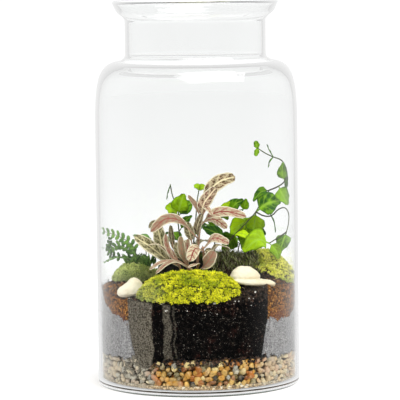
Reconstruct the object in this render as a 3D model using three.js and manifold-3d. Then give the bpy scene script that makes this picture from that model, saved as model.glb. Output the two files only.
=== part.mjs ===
// A glass plant terrarium: a clear wide-necked jar with gravel, a pale fine fill, three root balls,
// moss, stones and three plants. Millimetres, +Z up, origin at the middle of the jar's underside.
// The front of the planting looks along -Y, and +X is to the right.
import * as THREE from "three";
import { mergeVertices } from "three/addons/utils/BufferGeometryUtils.js";
import Module from "manifold-3d";

const wasm = await Module();
wasm.setup();

// ---------------------------------------------------------------- driving dimensions

const GAP = 0.3; // between pieces that touch

const JAR = {
  height: 300,
  bodyRadius: 79,
  wall: 3,
  floor: 3.8,
  cornerRadius: 4,
  shoulderStart: 212,
  neckRadius: 54.9,
  neckBottom: 259,
  neckTop: 285,
  rimRadius: 64.5,
  beadRadius: 1.6,
  segments: 36,
};

const INSIDE = JAR.bodyRadius - JAR.wall - 0.6; // radius that the filling is pressed out to
const GRAVEL_TOP = 30;
const GRAVEL_BOTTOM = JAR.floor + GAP;
const PEBBLES_ROUND = 40;
const PEBBLE_LAYERS = 4;
const PEBBLE_RELIEF = 2.2;

const SOIL_BOTTOM = GRAVEL_TOP + GAP;
const BALL_BOTTOM = 36; // underside of the two coco balls, bedded in the fill

const BLADE = 0.7; // thickness of leaves
const HOLE_CLEARANCE = 0.5; // between a stem and its hole in the soil
const HOLE_SIDES = 6;
const OPEN_AIR = 140; // a height above every heap of soil, moss and stone

// ---------------------------------------------------------------- small helpers

const v = (x, y, z) => new THREE.Vector3(x, y, z);
const lerp = THREE.MathUtils.lerp;
const smoothstep = THREE.MathUtils.smoothstep;

// A repeatable random number generator.
function seeded(seed) {
  let state = seed;
  return () => {
    state = (state * 1664525 + 1013904223) % 4294967296;
    return state / 4294967296;
  };
}

// A smooth uneven relief between -1 and 1, with lumps of the given size.
function lumps(p, size) {
  const x = p.x / size;
  const y = p.y / size;
  const z = p.z / size;
  const a = Math.sin(1.7 * x + 1.1 * y) * Math.cos(1.9 * y - 0.7 * z);
  const b = Math.sin(1.3 * z + 0.9 * x + 2) * Math.cos(2.3 * x - 1.2 * y + 1);
  return 0.5 * (a + b);
}

function toSolid(geometry) {
  const bare = geometry.clone();
  bare.deleteAttribute("normal");
  bare.deleteAttribute("uv");
  const merged = mergeVertices(bare, 1e-4);
  const index = merged.index.array;
  const triVerts = [];
  for (let i = 0; i < index.length; i += 3) {
    const [a, b, c] = [index[i], index[i + 1], index[i + 2]];
    if (a !== b && b !== c && c !== a) triVerts.push(a, b, c);
  }
  return new wasm.Manifold(
    new wasm.Mesh({
      numProp: 3,
      vertProperties: merged.attributes.position.array,
      triVerts: new Uint32Array(triVerts),
    }),
  );
}

function toGeometry(solid) {
  const mesh = solid.getMesh();
  const geometry = new THREE.BufferGeometry();
  geometry.setAttribute("position", new THREE.BufferAttribute(mesh.vertProperties, 3));
  geometry.setIndex(new THREE.BufferAttribute(mesh.triVerts, 1));
  geometry.computeVertexNormals();
  return geometry;
}

const union = (solids) => solids.reduce((all, next) => all.add(next));
const cut = (solid, tools) => tools.reduce((rest, tool) => rest.subtract(tool), solid);

// The biggest body of a solid that a cut may have left with loose slivers.
function largest(solid) {
  return solid.decompose().sort((a, b) => b.volume() - a.volume())[0];
}

// ---------------------------------------------------------------- shapes turned or stacked

// A closed turned solid: profile points are [radius, height].
function turned(profile, segments) {
  const points = profile.map(([r, z]) => new THREE.Vector2(r, z));
  const geometry = new THREE.LatheGeometry(points, segments);
  geometry.rotateX(Math.PI / 2);
  return toSolid(geometry);
}

// An upright cylinder at x and y.
function drum({ x = 0, y = 0, radius, bottom, top, segments }) {
  const geometry = new THREE.CylinderGeometry(radius, radius, top - bottom, segments);
  geometry.rotateX(Math.PI / 2);
  geometry.translate(x, y, (top + bottom) / 2);
  return toSolid(geometry);
}

// A closed solid from rings of equal length, listed upwards, with a point in the middle of each end.
function stacked(rings, bottom, top) {
  const count = rings[0].length;
  const points = [bottom, ...rings.flat(), top];
  const index = [];
  const at = (ring, k) => 1 + ring * count + (k % count);
  for (let k = 0; k < count; k++) {
    index.push(0, at(0, k + 1), at(0, k));
    index.push(points.length - 1, at(rings.length - 1, k), at(rings.length - 1, k + 1));
    for (let ring = 0; ring + 1 < rings.length; ring++) {
      index.push(at(ring, k), at(ring, k + 1), at(ring + 1, k + 1));
      index.push(at(ring, k), at(ring + 1, k + 1), at(ring + 1, k));
    }
  }
  const geometry = new THREE.BufferGeometry().setFromPoints(points);
  geometry.setIndex(index);
  return toSolid(geometry);
}

// A natural heap or lump. Its outline in plan is a smooth closed curve through a few points, drawn in
// towards the centre level by level: levels are [scale, rise], where a rise of 0 is the underside and 1
// the top. Underside and top are heights, or functions of x and y. Relief is [depth, lump size].
function mound({ outline, centre, levels, underside, top, relief = [0, 1], around = 28, grow = 0 }) {
  const turn = THREE.ShapeUtils.area(outline.map(([x, y]) => new THREE.Vector2(x, y)));
  const corners = turn > 0 ? outline : [...outline].reverse();
  const curve = new THREE.CatmullRomCurve3(corners.map(([x, y]) => v(x, y, 0)), true, "centripetal");
  const middle = v(centre[0], centre[1], 0);
  const height = (f, x, y) => (typeof f === "function" ? f(x, y) : f);
  const place = (edge, scale, rise) => {
    const out = edge.clone().sub(middle);
    const reach = out.length();
    const p = middle.clone().addScaledVector(out, (scale * reach + (scale > 0 ? grow : 0)) / reach);
    const low = height(underside, p.x, p.y) - grow;
    const high = height(top, p.x, p.y) + grow;
    p.z = lerp(low, high, rise);
    const push = relief[0] * lumps(p, relief[1]);
    if (rise > 0) p.z += push * 0.7 * rise;
    return scale > 0.6 ? p.addScaledVector(out.normalize(), push) : p;
  };
  const edges = curve.getSpacedPoints(around).slice(0, around);
  const [lowest, ...rest] = levels;
  const highest = rest.pop();
  const rings = rest.map(([scale, rise]) => edges.map((edge) => place(edge, scale, rise)));
  const end = ([, rise]) => place(edges[0], 0, rise);
  return stacked(rings, end(lowest), end(highest));
}

// ---------------------------------------------------------------- leaves and stems

// A sheet of points and triangles, made a solid blade: both faces are split alike.
function thicken(points, ups, faces, thickness = BLADE) {
  const count = points.length;
  const shifted = [1, -1].flatMap((side) =>
    points.map((p, i) => p.clone().addScaledVector(ups[i], (side * thickness) / 2)),
  );
  const index = [];
  const edges = new Set(faces.flatMap(([a, b, c]) => [`${a} ${b}`, `${b} ${c}`, `${c} ${a}`]));
  for (const [a, b, c] of faces) {
    index.push(a, b, c, c + count, b + count, a + count);
    for (const [from, to] of [[a, b], [b, c], [c, a]]) {
      if (edges.has(`${to} ${from}`)) continue;
      index.push(to, from, from + count, to, from + count, to + count);
    }
  }
  const geometry = new THREE.BufferGeometry().setFromPoints(shifted);
  geometry.setIndex(index);
  return toSolid(geometry);
}

// Where a blade is along its rib: the point, and the directions across and up from its face.
function ribFrame(curve, t, face) {
  const at = curve.getPoint(t);
  const along = curve.getTangent(t);
  const across = face.clone().cross(along).normalize();
  const up = along.clone().cross(across).normalize();
  return { at, along, across, up };
}

// Half widths along a leaf, as [place, share of the half width]. The narrow start is its stalk.
const NERVE_LEAF = [[0, 0.2], [0.22, 0.2], [0.46, 0.94], [0.76, 0.8]];
const HEART_LEAF = [[0, 0.1], [0.18, 0.1], [0.3, 0.85], [0.52, 1], [0.78, 0.56]];
const SLIM_LEAF = [[0, 0.4], [0.35, 1], [0.7, 0.8]];

// A leaf along a rib that passes through the points given, its upper face towards "face".
// Fold lifts its edges above the rib, and wave ripples them.
function leaf({ rib, width, face, shape = NERVE_LEAF, fold = 0.2, wave = 0.06 }) {
  const curve = new THREE.CatmullRomCurve3(rib.map((p) => v(...p)), false, "centripetal");
  const facing = v(...face).normalize();
  const points = [];
  const ups = [];
  const faces = [];
  shape.forEach(([t, share], station) => {
    const { at, across, up } = ribFrame(curve, t, facing);
    const half = Math.max((share * width) / 2, 0.55);
    for (const side of [1, 0, -1]) {
      const ripple = side * wave * width * Math.sin(2.4 * station);
      const lift = Math.abs(side) * fold * half + (station > 1 ? ripple : 0);
      points.push(at.clone().addScaledVector(across, side * half).addScaledVector(up, lift));
      ups.push(up);
    }
  });
  const tip = ribFrame(curve, 1, facing);
  points.push(tip.at);
  ups.push(tip.up);
  for (let s = 0; s + 1 < shape.length; s++) {
    for (const side of [0, 1]) {
      const a = 3 * s + side;
      faces.push([a, a + 1, a + 4], [a, a + 4, a + 3]);
    }
  }
  const last = 3 * (shape.length - 1);
  faces.push([last, last + 1, last + 3], [last + 1, last + 2, last + 3]);
  return thicken(points, ups, faces);
}

// A thin round stem through the points given.
function stem(points, radius, sides = 4, stepLength = 11) {
  const curve = new THREE.CatmullRomCurve3(points.map((p) => v(...p)), false, "centripetal");
  const section = new THREE.Shape();
  for (let k = 0; k < sides; k++) {
    const angle = (2 * Math.PI * k) / sides;
    const [x, y] = [radius * Math.cos(angle), radius * Math.sin(angle)];
    if (k) section.lineTo(x, y);
    else section.moveTo(x, y);
  }
  section.closePath();
  const steps = Math.max(2, Math.round(curve.getLength() / stepLength));
  return toSolid(new THREE.ExtrudeGeometry(section, { steps, extrudePath: curve }));
}

// A fern frond in one piece: a narrow rib with pairs of oval leaflets cut right down to it.
function frond({ rib, pairs, length, face }) {
  const RIB_HALF = 0.6;
  const STALK = 0.36; // share of the frond below its first pair
  const curve = new THREE.CatmullRomCurve3(rib.map((p) => v(...p)), false, "centripetal");
  const facing = v(...face).normalize();
  const points = [];
  const ups = [];
  const faces = [];
  const add = (frame, along, across, rise) => {
    points.push(
      frame.at
        .clone()
        .addScaledVector(frame.along, along)
        .addScaledVector(frame.across, across)
        .addScaledVector(frame.up, rise),
    );
    ups.push(frame.up);
    return points.length - 1;
  };
  const station = (t) => {
    const frame = ribFrame(curve, t, facing);
    return { frame, left: add(frame, 0, RIB_HALF, 0), right: add(frame, 0, -RIB_HALF, 0) };
  };
  const strip = (a, b) => faces.push([a.left, a.right, b.right], [a.left, b.right, b.left]);
  const leaflet = (a, b, side, reach) => {
    const frame = ribFrame(curve, (a.t + b.t) / 2, facing);
    const half = 0.3 * reach;
    const lift = 0.16 * reach;
    const [near, far] = side > 0 ? [a.left, b.left] : [b.right, a.right];
    const lean = side > 0 ? 1 : -1; // keeps the same turning sense on both sides of the rib
    const out = (share, width, rise) =>
      add(frame, lean * width * half + 0.15 * reach, side * share, rise * lift);
    const n1 = out(reach * 0.55, -1, 0.6);
    const n2 = out(reach, -0.5, 1);
    const f2 = out(reach, 0.5, 1);
    const f1 = out(reach * 0.55, 1, 0.6);
    faces.push([near, far, f1], [near, f1, n1], [n1, f1, f2], [n1, f2, n2]);
  };
  let previous = station(0);
  for (let k = 0; k < pairs; k++) {
    const pitch = (1 - STALK) / pairs;
    const begin = STALK + k * pitch;
    const [ta, tb] = [begin, begin + 0.42 * pitch];
    const a = { t: ta, ...station(ta) };
    const b = { t: tb, ...station(tb) };
    strip(previous, a);
    strip(a, b);
    const reach = length * Math.sin(Math.PI * (0.3 + (0.58 * k) / pairs));
    leaflet(a, b, 1, reach);
    leaflet(a, b, -1, reach);
    previous = b;
  }
  const tip = station(1);
  strip(previous, tip);
  return thicken(points, ups, faces);
}

// ---------------------------------------------------------------- jar

// Points of an arc in the profile plane, angles in degrees from the outward direction.
function arc(r, z, radius, from, to, steps) {
  return Array.from({ length: steps + 1 }, (_, i) => {
    const angle = THREE.MathUtils.degToRad(lerp(from, to, i / steps));
    return [r + radius * Math.cos(angle), z + radius * Math.sin(angle)];
  });
}

// Heights and how far the shoulder has drawn in from the body there, from the body up to the neck.
const SHOULDER = [[0, 0], [13, 0.7], [22, 1.8], [30, 3.8], [35.5, 6.9], [38.6, 10.4], [42, 20.5]];

function makeJar() {
  const { bodyRadius, wall, floor, cornerRadius, shoulderStart, neckRadius, height } = JAR;
  const inner = bodyRadius - wall;
  const bead = { r: JAR.rimRadius - JAR.beadRadius, z: height - JAR.beadRadius };
  const outside = [
    [0, 0],
    ...arc(bodyRadius - cornerRadius, cornerRadius, cornerRadius, -90, 0, 3),
    ...SHOULDER.map(([rise, inset]) => [bodyRadius - inset, shoulderStart + rise]),
    [neckRadius, JAR.neckBottom],
    [neckRadius, JAR.neckTop],
    [neckRadius + 2, JAR.neckTop + 2.6],
    [neckRadius + 6.1, JAR.neckTop + 6.5],
    ...arc(bead.r, bead.z, JAR.beadRadius, -45, 90, 2),
  ];
  const inside = [
    [bead.r - 1.8, bead.z + 0.4],
    [neckRadius + 3, JAR.neckTop + 7.5],
    [neckRadius - 0.4, JAR.neckTop + 3.4],
    [neckRadius - wall, JAR.neckTop - 1],
    [neckRadius - wall, JAR.neckBottom - 2],
    ...SHOULDER.filter((_, i) => i % 2 === 0 && i < SHOULDER.length - 1)
      .map(([rise, inset]) => [inner - 1.15 * inset, shoulderStart + 0.93 * rise])
      .reverse(),
    ...arc(inner - cornerRadius, floor + cornerRadius, cornerRadius, 0, -90, 2),
    [0, floor],
  ];
  return turned([...outside, ...inside], JAR.segments);
}

// ---------------------------------------------------------------- gravel

// A drum of pebbles: its wall rises and falls in staggered layers, one peak to a pebble.
function makeGravel() {
  const random = seeded(11);
  const columns = 2 * PEBBLES_ROUND;
  const rows = 2 * PEBBLE_LAYERS;
  const rings = [];
  for (let row = 0; row <= rows; row++) {
    const layer = row / 2;
    const ring = [];
    for (let k = 0; k < columns; k++) {
      const peak = row % 2 === 1 && k % 2 === Math.floor(layer) % 2;
      const depth = peak ? 0.4 * random() : PEBBLE_RELIEF * (0.45 + 0.55 * random());
      const angle = (2 * Math.PI * (k + 0.3 * (random() - 0.5))) / columns;
      const radius = INSIDE - depth - (row === 0 ? 3.5 : 0);
      const z = lerp(GRAVEL_BOTTOM, GRAVEL_TOP, row / rows);
      const jitter = row > 0 && row < rows ? 1.2 * (random() - 0.5) : 0;
      ring.push(v(radius * Math.cos(angle), radius * Math.sin(angle), z + jitter));
    }
    rings.push(ring);
  }
  return stacked(rings, v(0, 0, GRAVEL_BOTTOM), v(0, 0, GRAVEL_TOP));
}

// ---------------------------------------------------------------- soil, fill, moss and stones

// Height of the front soil's top: low at the front glass, higher at the right and the back.
function soilTop(x, y) {
  const rightRise = 10.5 * smoothstep(x, 12, 50);
  const leftRise = 1.2 * smoothstep(-x, 20, 50);
  return 71 + rightRise + leftRise + 7 * smoothstep(y, -66, -22);
}

// Height of the right coco ball's top: highest in the middle, low towards the glass and the front.
function rightTop(x, y) {
  return 97 - 11 * smoothstep(x, 44, 76) - 17 * smoothstep(-y, 8, 40) - 10 * smoothstep(y, 22, 60);
}

function leftTop(x, y) {
  return 82 - 9 * smoothstep(-y, 5, 38) - 4 * smoothstep(y, 20, 50) - 2 * smoothstep(-x, 50, 75);
}

// Height of the pale fill's top, and a little lower at the left than at the right.
function fillTop(x, y) {
  return 79 + 4 * smoothstep(x, -40, 70) - 3 * smoothstep(y, 10, 70);
}

const BALL_LEVELS = [[0, 0], [0.8, 0], [0.88, 0.32], [1, 0.8], [0.95, 1], [0.5, 1], [0, 1]];
const DOME_LEVELS = [
  [0, 0], [0.93, 0], [1, 0.22], [0.95, 0.52],
  [0.82, 0.78], [0.6, 0.93], [0.3, 1], [0, 1],
];
const PEBBLE_LEVELS = [[0, 0], [0.7, 0], [0.95, 0.22], [1, 0.5], [0.86, 0.8], [0.5, 0.98], [0, 1]];

// The three root balls, as mounds.
const FRONT_SOIL = {
  outline: [
    [0, -86], [50, -84], [55, -52], [49, -18], [26, -3],
    [-6, -1], [-36, -6], [-52, -24], [-55, -54], [-50, -84],
  ],
  centre: [0, -44],
  levels: [[0, 0], [0.85, 0], [0.93, 0.4], [1, 0.85], [0.97, 1], [0.6, 1], [0, 1]],
  underside: SOIL_BOTTOM,
  top: soilTop,
  relief: [1, 11],
  around: 30,
};
const LEFT_BALL = {
  outline: [
    [-50, -62], [-67, -42], [-77, -22], [-70, 6], [-68, 28],
    [-52, 48], [-24, 50], [-6, 30], [-6, -4], [-24, -34],
  ],
  centre: [-40, 0],
  levels: BALL_LEVELS,
  underside: BALL_BOTTOM,
  top: leftTop,
  relief: [1, 9],
  around: 24,
};
const RIGHT_BALL = {
  outline: [
    [52, -62], [70, -42], [79, -20], [75, 4], [66, 30],
    [50, 50], [24, 52], [6, 32], [6, -4], [24, -34],
  ],
  centre: [41, 0],
  levels: BALL_LEVELS,
  underside: BALL_BOTTOM,
  top: rightTop,
  relief: [1, 9],
  around: 24,
};
const BALLS = [FRONT_SOIL, LEFT_BALL, RIGHT_BALL];

// The open space over a root ball, from a little under its top.
const spaceOver = (ball) =>
  mound({
    ...ball,
    levels: [[0, 0], [0.97, 0], [0.97, 1], [0, 1]],
    underside: (x, y) => ball.top(x, y) - 6,
    top: OPEN_AIR,
  });

const STONE_OUTLINES = {
  left: {
    outline: [[-61, -44], [-54, -48], [-45, -45], [-41, -39], [-45, -33], [-54, -32], [-61, -37]],
    centre: [-51, -39],
  },
  slab: {
    outline: [[25, -43], [33, -52], [47, -51.5], [59, -43.5], [57, -38], [43, -35], [28, -37]],
    centre: [42, -44],
  },
  dome: {
    outline: [[24.5, -38], [30, -45], [41, -45], [48, -38], [44, -29], [34, -27], [27, -31]],
    centre: [36, -37],
  },
};
const SLAB_TOP = 87;

const leftStone = (grow) =>
  mound({
    ...STONE_OUTLINES.left,
    levels: PEBBLE_LEVELS,
    underside: 73,
    top: (x) => 88.5 - 0.035 * (x + 50) ** 2,
    relief: [0.7, 6],
    around: 14,
    grow,
  });

const slabStone = (grow) =>
  mound({
    ...STONE_OUTLINES.slab,
    levels: PEBBLE_LEVELS,
    underside: (x) => 80.5 - 0.05 * (x - 42),
    top: (x) => SLAB_TOP - 0.12 * Math.max(0, x - 40),
    relief: [0.4, 8],
    around: 16,
    grow,
  });

const domeStone = (grow) =>
  mound({
    ...STONE_OUTLINES.dome,
    levels: PEBBLE_LEVELS,
    underside: SLAB_TOP - 1,
    top: 97.5,
    relief: [0.5, 7],
    around: 16,
    grow,
  });

const frontMoss = () =>
  mound({
    outline: [
      [-47, -70], [-45, -50], [-34, -38], [-18, -30], [0, -27.5], [16, -31],
      [28, -44], [32, -60], [30, -80], [0, -92], [-36, -84],
    ],
    centre: [-7, -56],
    levels: DOME_LEVELS,
    underside: (x, y) => soilTop(x, y) - 3,
    top: (x, y) => 94 - 0.0016 * (x + 8) ** 2 - 9 * smoothstep(-y, 52, 78) + 3 * smoothstep(x, 5, 30),
    relief: [1.3, 3.4],
    around: 38,
  });

const leftMoss = () =>
  mound({
    outline: [
      [-68, 2], [-64, -10], [-50, -12], [-39, -6], [-30, 8],
      [-28, 26], [-40, 38], [-56, 32], [-66, 18],
    ],
    centre: [-49, 10],
    levels: DOME_LEVELS,
    underside: (x, y) => leftTop(x, y) - 2,
    top: (x, y) => 96 - 0.02 * (x + 48) ** 2 - 8 * smoothstep(y, 10, 30),
    relief: [1.2, 3.4],
    around: 26,
  });

const rightMoss = () =>
  mound({
    outline: [[49, -4], [60, -14], [76, -12], [80, 4], [74, 26], [62, 40], [44, 42], [40, 22]],
    centre: [60, 10],
    levels: DOME_LEVELS,
    underside: (x, y) => rightTop(x, y) - 8,
    top: (x) => 103 - 0.021 * (x - 50) ** 2,
    relief: [1.2, 3.4],
    around: 26,
  });

const fill = (grow) =>
  mound({
    outline: [
      [80, 0], [56.6, 56.6], [0, 80], [-56.6, 56.6],
      [-80, 0], [-56.6, -56.6], [0, -80], [56.6, -56.6],
    ],
    centre: [0, 0],
    levels: [[0, 0], [1, 0], [1, 1], [0.6, 1], [0, 1]],
    underside: GRAVEL_TOP + GAP,
    top: fillTop,
    relief: [0.8, 14],
    around: 36,
    grow,
  });

// ---------------------------------------------------------------- the three plants

const UP = [0, 0, 1];
const FRONT = [0, -1, 0.25];
const FRONT_UP = [0, -0.75, 0.65];
const EDGE_ON = [1, 0, 0.2]; // a leaf seen from its edge

const NERVE_STEM = 1.1;
const VINE_STEM = 0.75;
const FROND_STEM = 0.9;

// Nerve plant: short fleshy stems behind the front moss, with long net-veined leaves.
const NERVE_PLANT = {
  nerve_stem_tall: {
    stem: [[-1, -18, 70], [-1, -18, 84], [0, -19, 100], [1, -19, 116], [3, -17, 130], [5, -15, 138]],
    leaves: [
      { rib: [[3, -17, 129], [5, -17, 142], [15, -15, 155]], width: 9, face: [-0.2, -1, 0.3] },
      {
        rib: [[5, -15, 136], [10, -11, 148], [20, -7, 158], [31, -3, 161]],
        width: 8,
        face: [-0.5, -0.8, 0.8],
      },
      { rib: [[3, -17, 130], [-1, -13, 141], [-7, -13, 149]], width: 4, face: FRONT },
      { rib: [[3.5, -16.7, 132], [7, -26, 140], [11, -30, 135]], width: 6, face: UP },
      { rib: [[1, -20, 114], [0, -27, 125], [4, -28, 136]], width: 7, face: [-0.6, -0.8, 0] },
      {
        rib: [[3, -18, 126], [10, -22, 134], [21, -24, 137], [38, -26, 133]],
        width: 8,
        face: [0, -0.6, 0.9],
      },
      { rib: [[3, -17, 128], [13, -14, 130], [23, -15, 123]], width: 8, face: [0.2, -0.8, 0.6] },
      {
        rib: [[1, -20, 115], [-13, -24, 130], [-24, -27, 132], [-36, -29, 122]],
        width: 7,
        face: [0, -0.5, 0.9],
      },
    ],
  },
  nerve_stem_right: {
    stem: [[4, -22, 70], [4, -22, 84], [5, -24, 98], [4, -25, 110]],
    leaves: [
      {
        rib: [[4, -25, 108], [13, -31, 117], [24, -34, 113]],
        width: 9,
        face: [0, -0.7, 0.8],
        wave: 0.1,
      },
      { rib: [[4, -25, 106], [8, -29, 107], [9, -30, 98]], width: 7, face: [0.5, -0.8, 0.3] },
      { rib: [[4, -25, 107], [-2, -34, 109], [-6, -40, 100]], width: 10, face: [-0.2, -0.9, 0.4] },
      { rib: [[5, -24, 100], [16, -18, 110], [25, -14, 106]], width: 8, face: UP },
    ],
  },
  nerve_stem_left: {
    stem: [[-11, -20, 70], [-11, -20, 84], [-14, -21, 94], [-17, -20, 102]],
    leaves: [
      {
        rib: [[-14, -21, 94], [-25, -24, 101], [-37, -28, 111], [-49, -30, 119]],
        width: 12,
        face: [0.2, -0.8, 0.7],
      },
      {
        rib: [[-16, -20, 99], [-26, -17, 106], [-29, -15, 116], [-31, -13, 125]],
        width: 11,
        face: FRONT,
      },
      {
        rib: [[-17, -20, 102], [-27, -11, 117], [-33, -7, 127], [-38, -4, 123]],
        width: 7,
        face: [0, -0.6, 0.8],
      },
      {
        rib: [[-15, -21, 97], [-24, -28, 107], [-31, -31, 113], [-38, -31, 112]],
        width: 4.5,
        face: UP,
      },
      { rib: [[-17, -20, 102], [-20, -16, 114], [-21, -14, 126]], width: 5, face: [0.5, -0.8, 0] },
    ],
  },
  nerve_tuft_centre: {
    stem: [[-5, -24, 70], [-5, -24, 84], [-7, -26, 92], [-9, -27, 97]],
    leaves: [
      {
        rib: [[-9, -27, 96], [-20, -29, 103], [-24, -30, 113], [-25, -31, 121]],
        width: 5,
        face: [0.6, -0.8, 0],
      },
      { rib: [[-9, -27, 97], [-15, -27, 105], [-17, -27, 114]], width: 5, face: FRONT },
      { rib: [[-8, -27, 95], [-12, -29, 106], [-13, -29, 119]], width: 6, face: FRONT },
      { rib: [[-7, -26, 93], [-8, -29, 104], [-7, -30, 117]], width: 6, face: [-0.5, -0.9, 0] },
    ],
  },
  nerve_tuft_low: {
    stem: [[0, -24, 70], [0, -24, 84], [0, -26, 92]],
    leaves: [
      {
        rib: [[0, -26, 91], [5, -35, 96], [9, -38, 101], [13, -38, 108]],
        width: 11,
        face: FRONT_UP,
        wave: 0.1,
      },
      { rib: [[0, -26, 91], [-1, -38, 98], [-7, -46, 96]], width: 5, face: UP },
      {
        rib: [[0, -26, 90], [-15, -32, 99], [-27, -38, 100], [-37, -42, 94]],
        width: 5,
        face: [0, -0.3, 1],
      },
      {
        rib: [[0, -26, 89], [-12, -34, 97], [-22, -44, 100], [-32, -50, 92]],
        width: 5,
        face: [0, -0.3, 1],
      },
    ],
  },
  nerve_stem_back: {
    stem: [[-3, -11, 70], [-3, -11, 86], [-4, -8, 100], [-4, -5, 110]],
    leaves: [
      { rib: [[-4, -7, 102], [-10, 0, 112], [-14, 9, 108]], width: 9, face: UP },
      { rib: [[-4, -7, 103], [3, 0, 112], [9, 8, 110]], width: 9, face: UP },
      { rib: [[-4, -5, 109], [-6, -2, 118], [-9, 3, 127]], width: 8, face: [0, 1, 0.3] },
      { rib: [[-4, -7, 101], [-12, -6, 108], [-20, 0, 107]], width: 7, face: UP },
    ],
  },
};

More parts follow.
